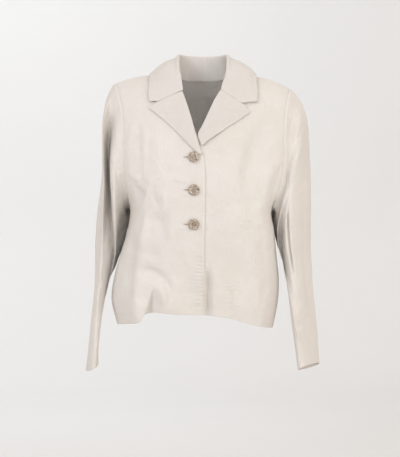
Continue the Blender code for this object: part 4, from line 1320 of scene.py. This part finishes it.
def polished_horn(name):
    """Mottled brown horn look: a warped noise through a ramp of browns, under a clear polish."""
    made = Finish(name)
    marbled = made.noise(made.stretched(made.place, (1.0, 0.8, 1.9)), 120.0, 6, 0.6, 2.6)
    flecks = made.noise(made.place, 420.0, 3, 0.5, 0.8)
    browns = [
        (0.40, (0.050, 0.036, 0.028)), (0.49, (0.135, 0.098, 0.072)), (0.56, (0.27, 0.20, 0.148)),
        (0.64, (0.46, 0.375, 0.30)), (0.77, (0.68, 0.60, 0.51)),
    ]
    mottle = made.maths("ADD", marbled, made.maths("MULTIPLY", flecks, 0.22))
    made.feed(made.shader, {
        "Base Color": made.between(mottle, browns),
        "Normal": made.raised(flecks, 0.06, 0.0003),
        "Roughness": 0.3,
        "Coat Weight": 0.35,
        "Coat Roughness": 0.12,
    })
    return made.material


def plain_surface(name, colour):
    """Pale matte studio paper, with the least unevenness in its tone."""
    made = Finish(name)
    lower = tuple(0.985 * value for value in colour)
    made.feed(made.shader, {
        "Base Color": made.between(made.noise(made.place, 1.2, 2), [(0.3, lower), (0.7, colour)]),
        "Roughness": 0.9,
    })
    return made.material


cloth = woven_cloth("ecru_cloth", (0.670, 0.622, 0.572), (0.798, 0.768, 0.742), 1.0)
facing = woven_cloth("ecru_facing", (0.635, 0.592, 0.550), (0.742, 0.712, 0.690), 0.45)
thread = cotton_thread("ecru_thread", (0.56, 0.49, 0.41), (0.78, 0.72, 0.64))
button_thread = cotton_thread("button_thread", (0.40, 0.31, 0.22), (0.62, 0.52, 0.40))
# slit_shade is painted shade: a near-black brown for the sheet in each buttonhole's slit, in place of the
# shadow in its opening; it borrows the thread's noise
slit_shade = cotton_thread("slit_shade", (0.05, 0.032, 0.02), (0.09, 0.06, 0.04))
horn = polished_horn("mottled_horn")
paper = plain_surface("studio_paper", (0.86, 0.85, 0.84))


# ---------------------------------------------------------------- the pieces

def make_shell(part, grid, wall, finish, slot, **how):
    """A shell of cloth in place of one solid."""
    name = f"shell_{part}"
    return add_piece(name, cloth_mesh(name, grid, wall, **how), finish, slot, part)


def make_front(side, flip):
    """One front: its grid dips at the armhole, side and shoulder seams, and its hem is turned up."""
    fine = sink(front_grid(side), False, flip, top=0.5, last=0.5)
    normal = outward(fine, False, flip)
    grid = turn_up(fine, False, flip, HEM_DEPTH)
    piece = make_shell(f"front_{side}", grid, front_wall(grid, len(fine)), cloth, "cloth", flip=flip)
    hem = stitch_line(f"stitch_hem_{side}", fine, normal, HEM_DEPTH - 3, slice(2, -2), way="row")
    below = slice(132, None) if side == "right" else slice(150, None)
    edge = stitch_line(f"stitch_edge_{side}", fine, normal, 6.0, below, from_last=False)


def make_back():
    """The back, sunk at its seams and turned up at its hem."""
    fine = sink(back_grid(), False, False, top=0.4, first=0.5, last=0.5)
    normal = outward(fine, False, False)
    piece = make_shell("back", turn_up(fine, False, False, HEM_DEPTH), CLOTH, cloth, "cloth")
    hem = stitch_line("stitch_hem_back", fine, normal, HEM_DEPTH - 3, slice(2, -2), way="row")


def make_sleeve(side, flip):
    """One sleeve, a tube from its seam, where it dips, to its turned cuff."""
    fine = sink(sleeve_grid(side), True, flip, top=0.4)
    normal = outward(fine, True, flip)
    grid = turn_up(fine, True, flip, CUFF_DEPTH)
    piece = make_shell(f"sleeve_{side}", grid, CLOTH, cloth, "cloth", ring=True, flip=flip)
    hem = stitch_line(f"stitch_cuff_{side}", fine, normal, CUFF_DEPTH - 3, slice(0, None), way="row")


def make_lapel(side, flip):
    """One lapel, rolled over its front's edge."""
    piece = make_shell(f"lapel_{side}", lapel_grid(side), LAPEL, facing, "facing", flip=flip)


def make_collar():
    """The collar, in one folded piece."""
    piece = make_shell("collar", collar_grid(), FACED, facing, "facing", flip=True)


def make_buttonhole(name, height):
    """A worked buttonhole: a dark sheet along its slit, painted shade in place of the shadow in the
    opening, and a row of close stitches round it like a racetrack.
    """
    left, right = BUTTONHOLE
    half = 1.25
    straight = np.arange(left, right, 0.62)
    bend = np.linspace(-math.pi / 2, math.pi / 2, 8)[1:-1]
    round_x, round_z = half * np.cos(bend), half * np.sin(bend)
    x = np.concatenate([straight, right + round_x, straight[::-1], left - round_x])
    flat_z = np.full(len(straight), half)
    z = np.concatenate([-flat_z, round_z, flat_z, -round_z]) + height
    across, down = front_tilt(x, z)
    normals = unit(np.stack([across, -np.ones_like(across), down], axis=-1))
    places = np.stack([x, body_depth(x, z, "front"), z], axis=-1) + normals * 0.1
    centre_x = np.clip(x, left, right)
    ways = np.stack([x - centre_x, np.zeros_like(x), z - height], axis=-1)
    ways = unit(ways - normals * (ways * normals).sum(axis=1, keepdims=True))
    stitches = stitch_mesh(name, places, ways, normals, 2.1, 0.34)
    add_piece(f"{name}_hole_stitches", stitches, thread, "cloth")
    # Painted shade: a thin near-black sheet laid just off the cloth along the slit, standing for the
    # shadow in the buttonhole's opening
    across_slit = np.linspace(left, right, 30)[None, :]
    off = np.linspace(-0.55, 0.55, 5)[:, None]
    grid_x = across_slit + 0 * off
    grid_z = height + off * np.sin(np.linspace(0, math.pi, 30))[None, :] ** 0.5
    grid = np.stack([grid_x, body_depth(grid_x, grid_z, "front") - 0.16, grid_z], axis=-1)
    add_piece(f"{name}_slit", cloth_mesh(f"{name}_slit", grid, 0.1), slit_shade, "cloth")


def make_buttons():
    """The three buttons, their thread and their buttonholes."""
    shared = button_blank()
    for name, height in BUTTON_HEIGHTS.items():
        turn, place = button_place(np.array(BUTTON_X), np.array(height))
        turn = turn @ turn_about_z(math.radians(height * 1.7))
        mesh = shared.copy()
        points = np.empty(len(mesh.vertices) * 3)
        mesh.vertices.foreach_get("co", points)
        points = points.reshape(-1, 3) @ turn.T + place * MM
        mesh.vertices.foreach_set("co", points.ravel())
        mesh.update()
        mesh.shade_smooth()
        mesh.set_sharp_from_angle(angle=math.radians(40))
        add_piece(f"horn_{name}", mesh, horn, "button", name)
        sewing = join_tubes(f"{name}_thread", sewing_thread(turn, place))
        add_piece(f"{name}_thread", sewing, button_thread, "button")
        make_buttonhole(name, height)


make_front("right", False)
make_front("left", True)
make_back()
make_sleeve("right", True)
make_sleeve("left", False)
make_lapel("right", False)
make_lapel("left", True)
make_collar()
make_buttons()


# ---------------------------------------------------------------- studio

def studio_cove():
    """A round cove: a flat floor that turns up into a wall all round, a profile carried round."""
    bend = np.linspace(0, math.pi / 2, 12)[1:]
    reach = np.concatenate([[0.0, 1.5, 3.0, 4.2], 4.2 + 1.4 * np.sin(bend), [5.6, 5.6]])
    rise = np.concatenate([[0.0] * 4, 1.4 * (1 - np.cos(bend)), [2.4, 3.6]]) - 1.25
    points, faces = turned_disc(reach, rise, 96, flip=True)
    mesh = new_mesh("studio_cove", points / MM, faces.tolist())
    mesh.materials.append(paper)
    place_object("studio_cove", mesh)


def soft_light(name, place, goal, size, power, colour):
    """A square area light at a place, facing a goal."""
    data = bpy.data.lights.new(name, "AREA")
    data.shape = "SQUARE"
    data.size = size
    data.energy = power
    data.color = colour
    light = place_object(name, data)
    way = Vector(goal) - Vector(place)
    light.location = place
    light.rotation_euler = way.to_track_quat("-Z", "Y").to_euler()


studio_cove()
soft_light("key", (-2.1, -2.3, 1.2), (0, 0, -0.3), 1.2, 33, (0.88, 0.93, 0.98))
soft_light("front", (0.5, -3.6, 0.9), (0, 0, -0.35), 2.4, 21, (0.79, 0.895, 1.0))
soft_light("fill", (2.4, -2.2, 0.2), (0, 0, -0.3), 2.0, 28, (1.0, 0.93, 0.86))
soft_light("top", (0, -0.4, 2.4), (0, 0, -0.3), 2.0, 8, (1.0, 0.97, 0.94))
soft_light("wall", (-1.4, 2.6, 2.2), (-0.2, 5.6, -0.2), 1.6, 48, (0.76, 0.88, 1.0))

world = bpy.data.worlds.new("studio")
bpy.context.scene.world = world
world.use_nodes = True
backdrop = world.node_tree.nodes["Background"]
backdrop.inputs["Color"].default_value = (1.0, 0.92, 0.84, 1.0)
backdrop.inputs["Strength"].default_value = 0.66

bpy.context.scene.view_settings.view_transform = "Standard"

view = bpy.data.cameras.new("camera")
view.sensor_width = 36.0
view.lens = view.sensor_width * VIEW_DISTANCE / (PHOTO_HEIGHT * PIXEL)
camera = place_object("camera", view)
camera.location = (-0.00675, -VIEW_DISTANCE, -0.343)
camera.rotation_euler = (math.pi / 2, 0, 0)
bpy.context.scene.camera = camera
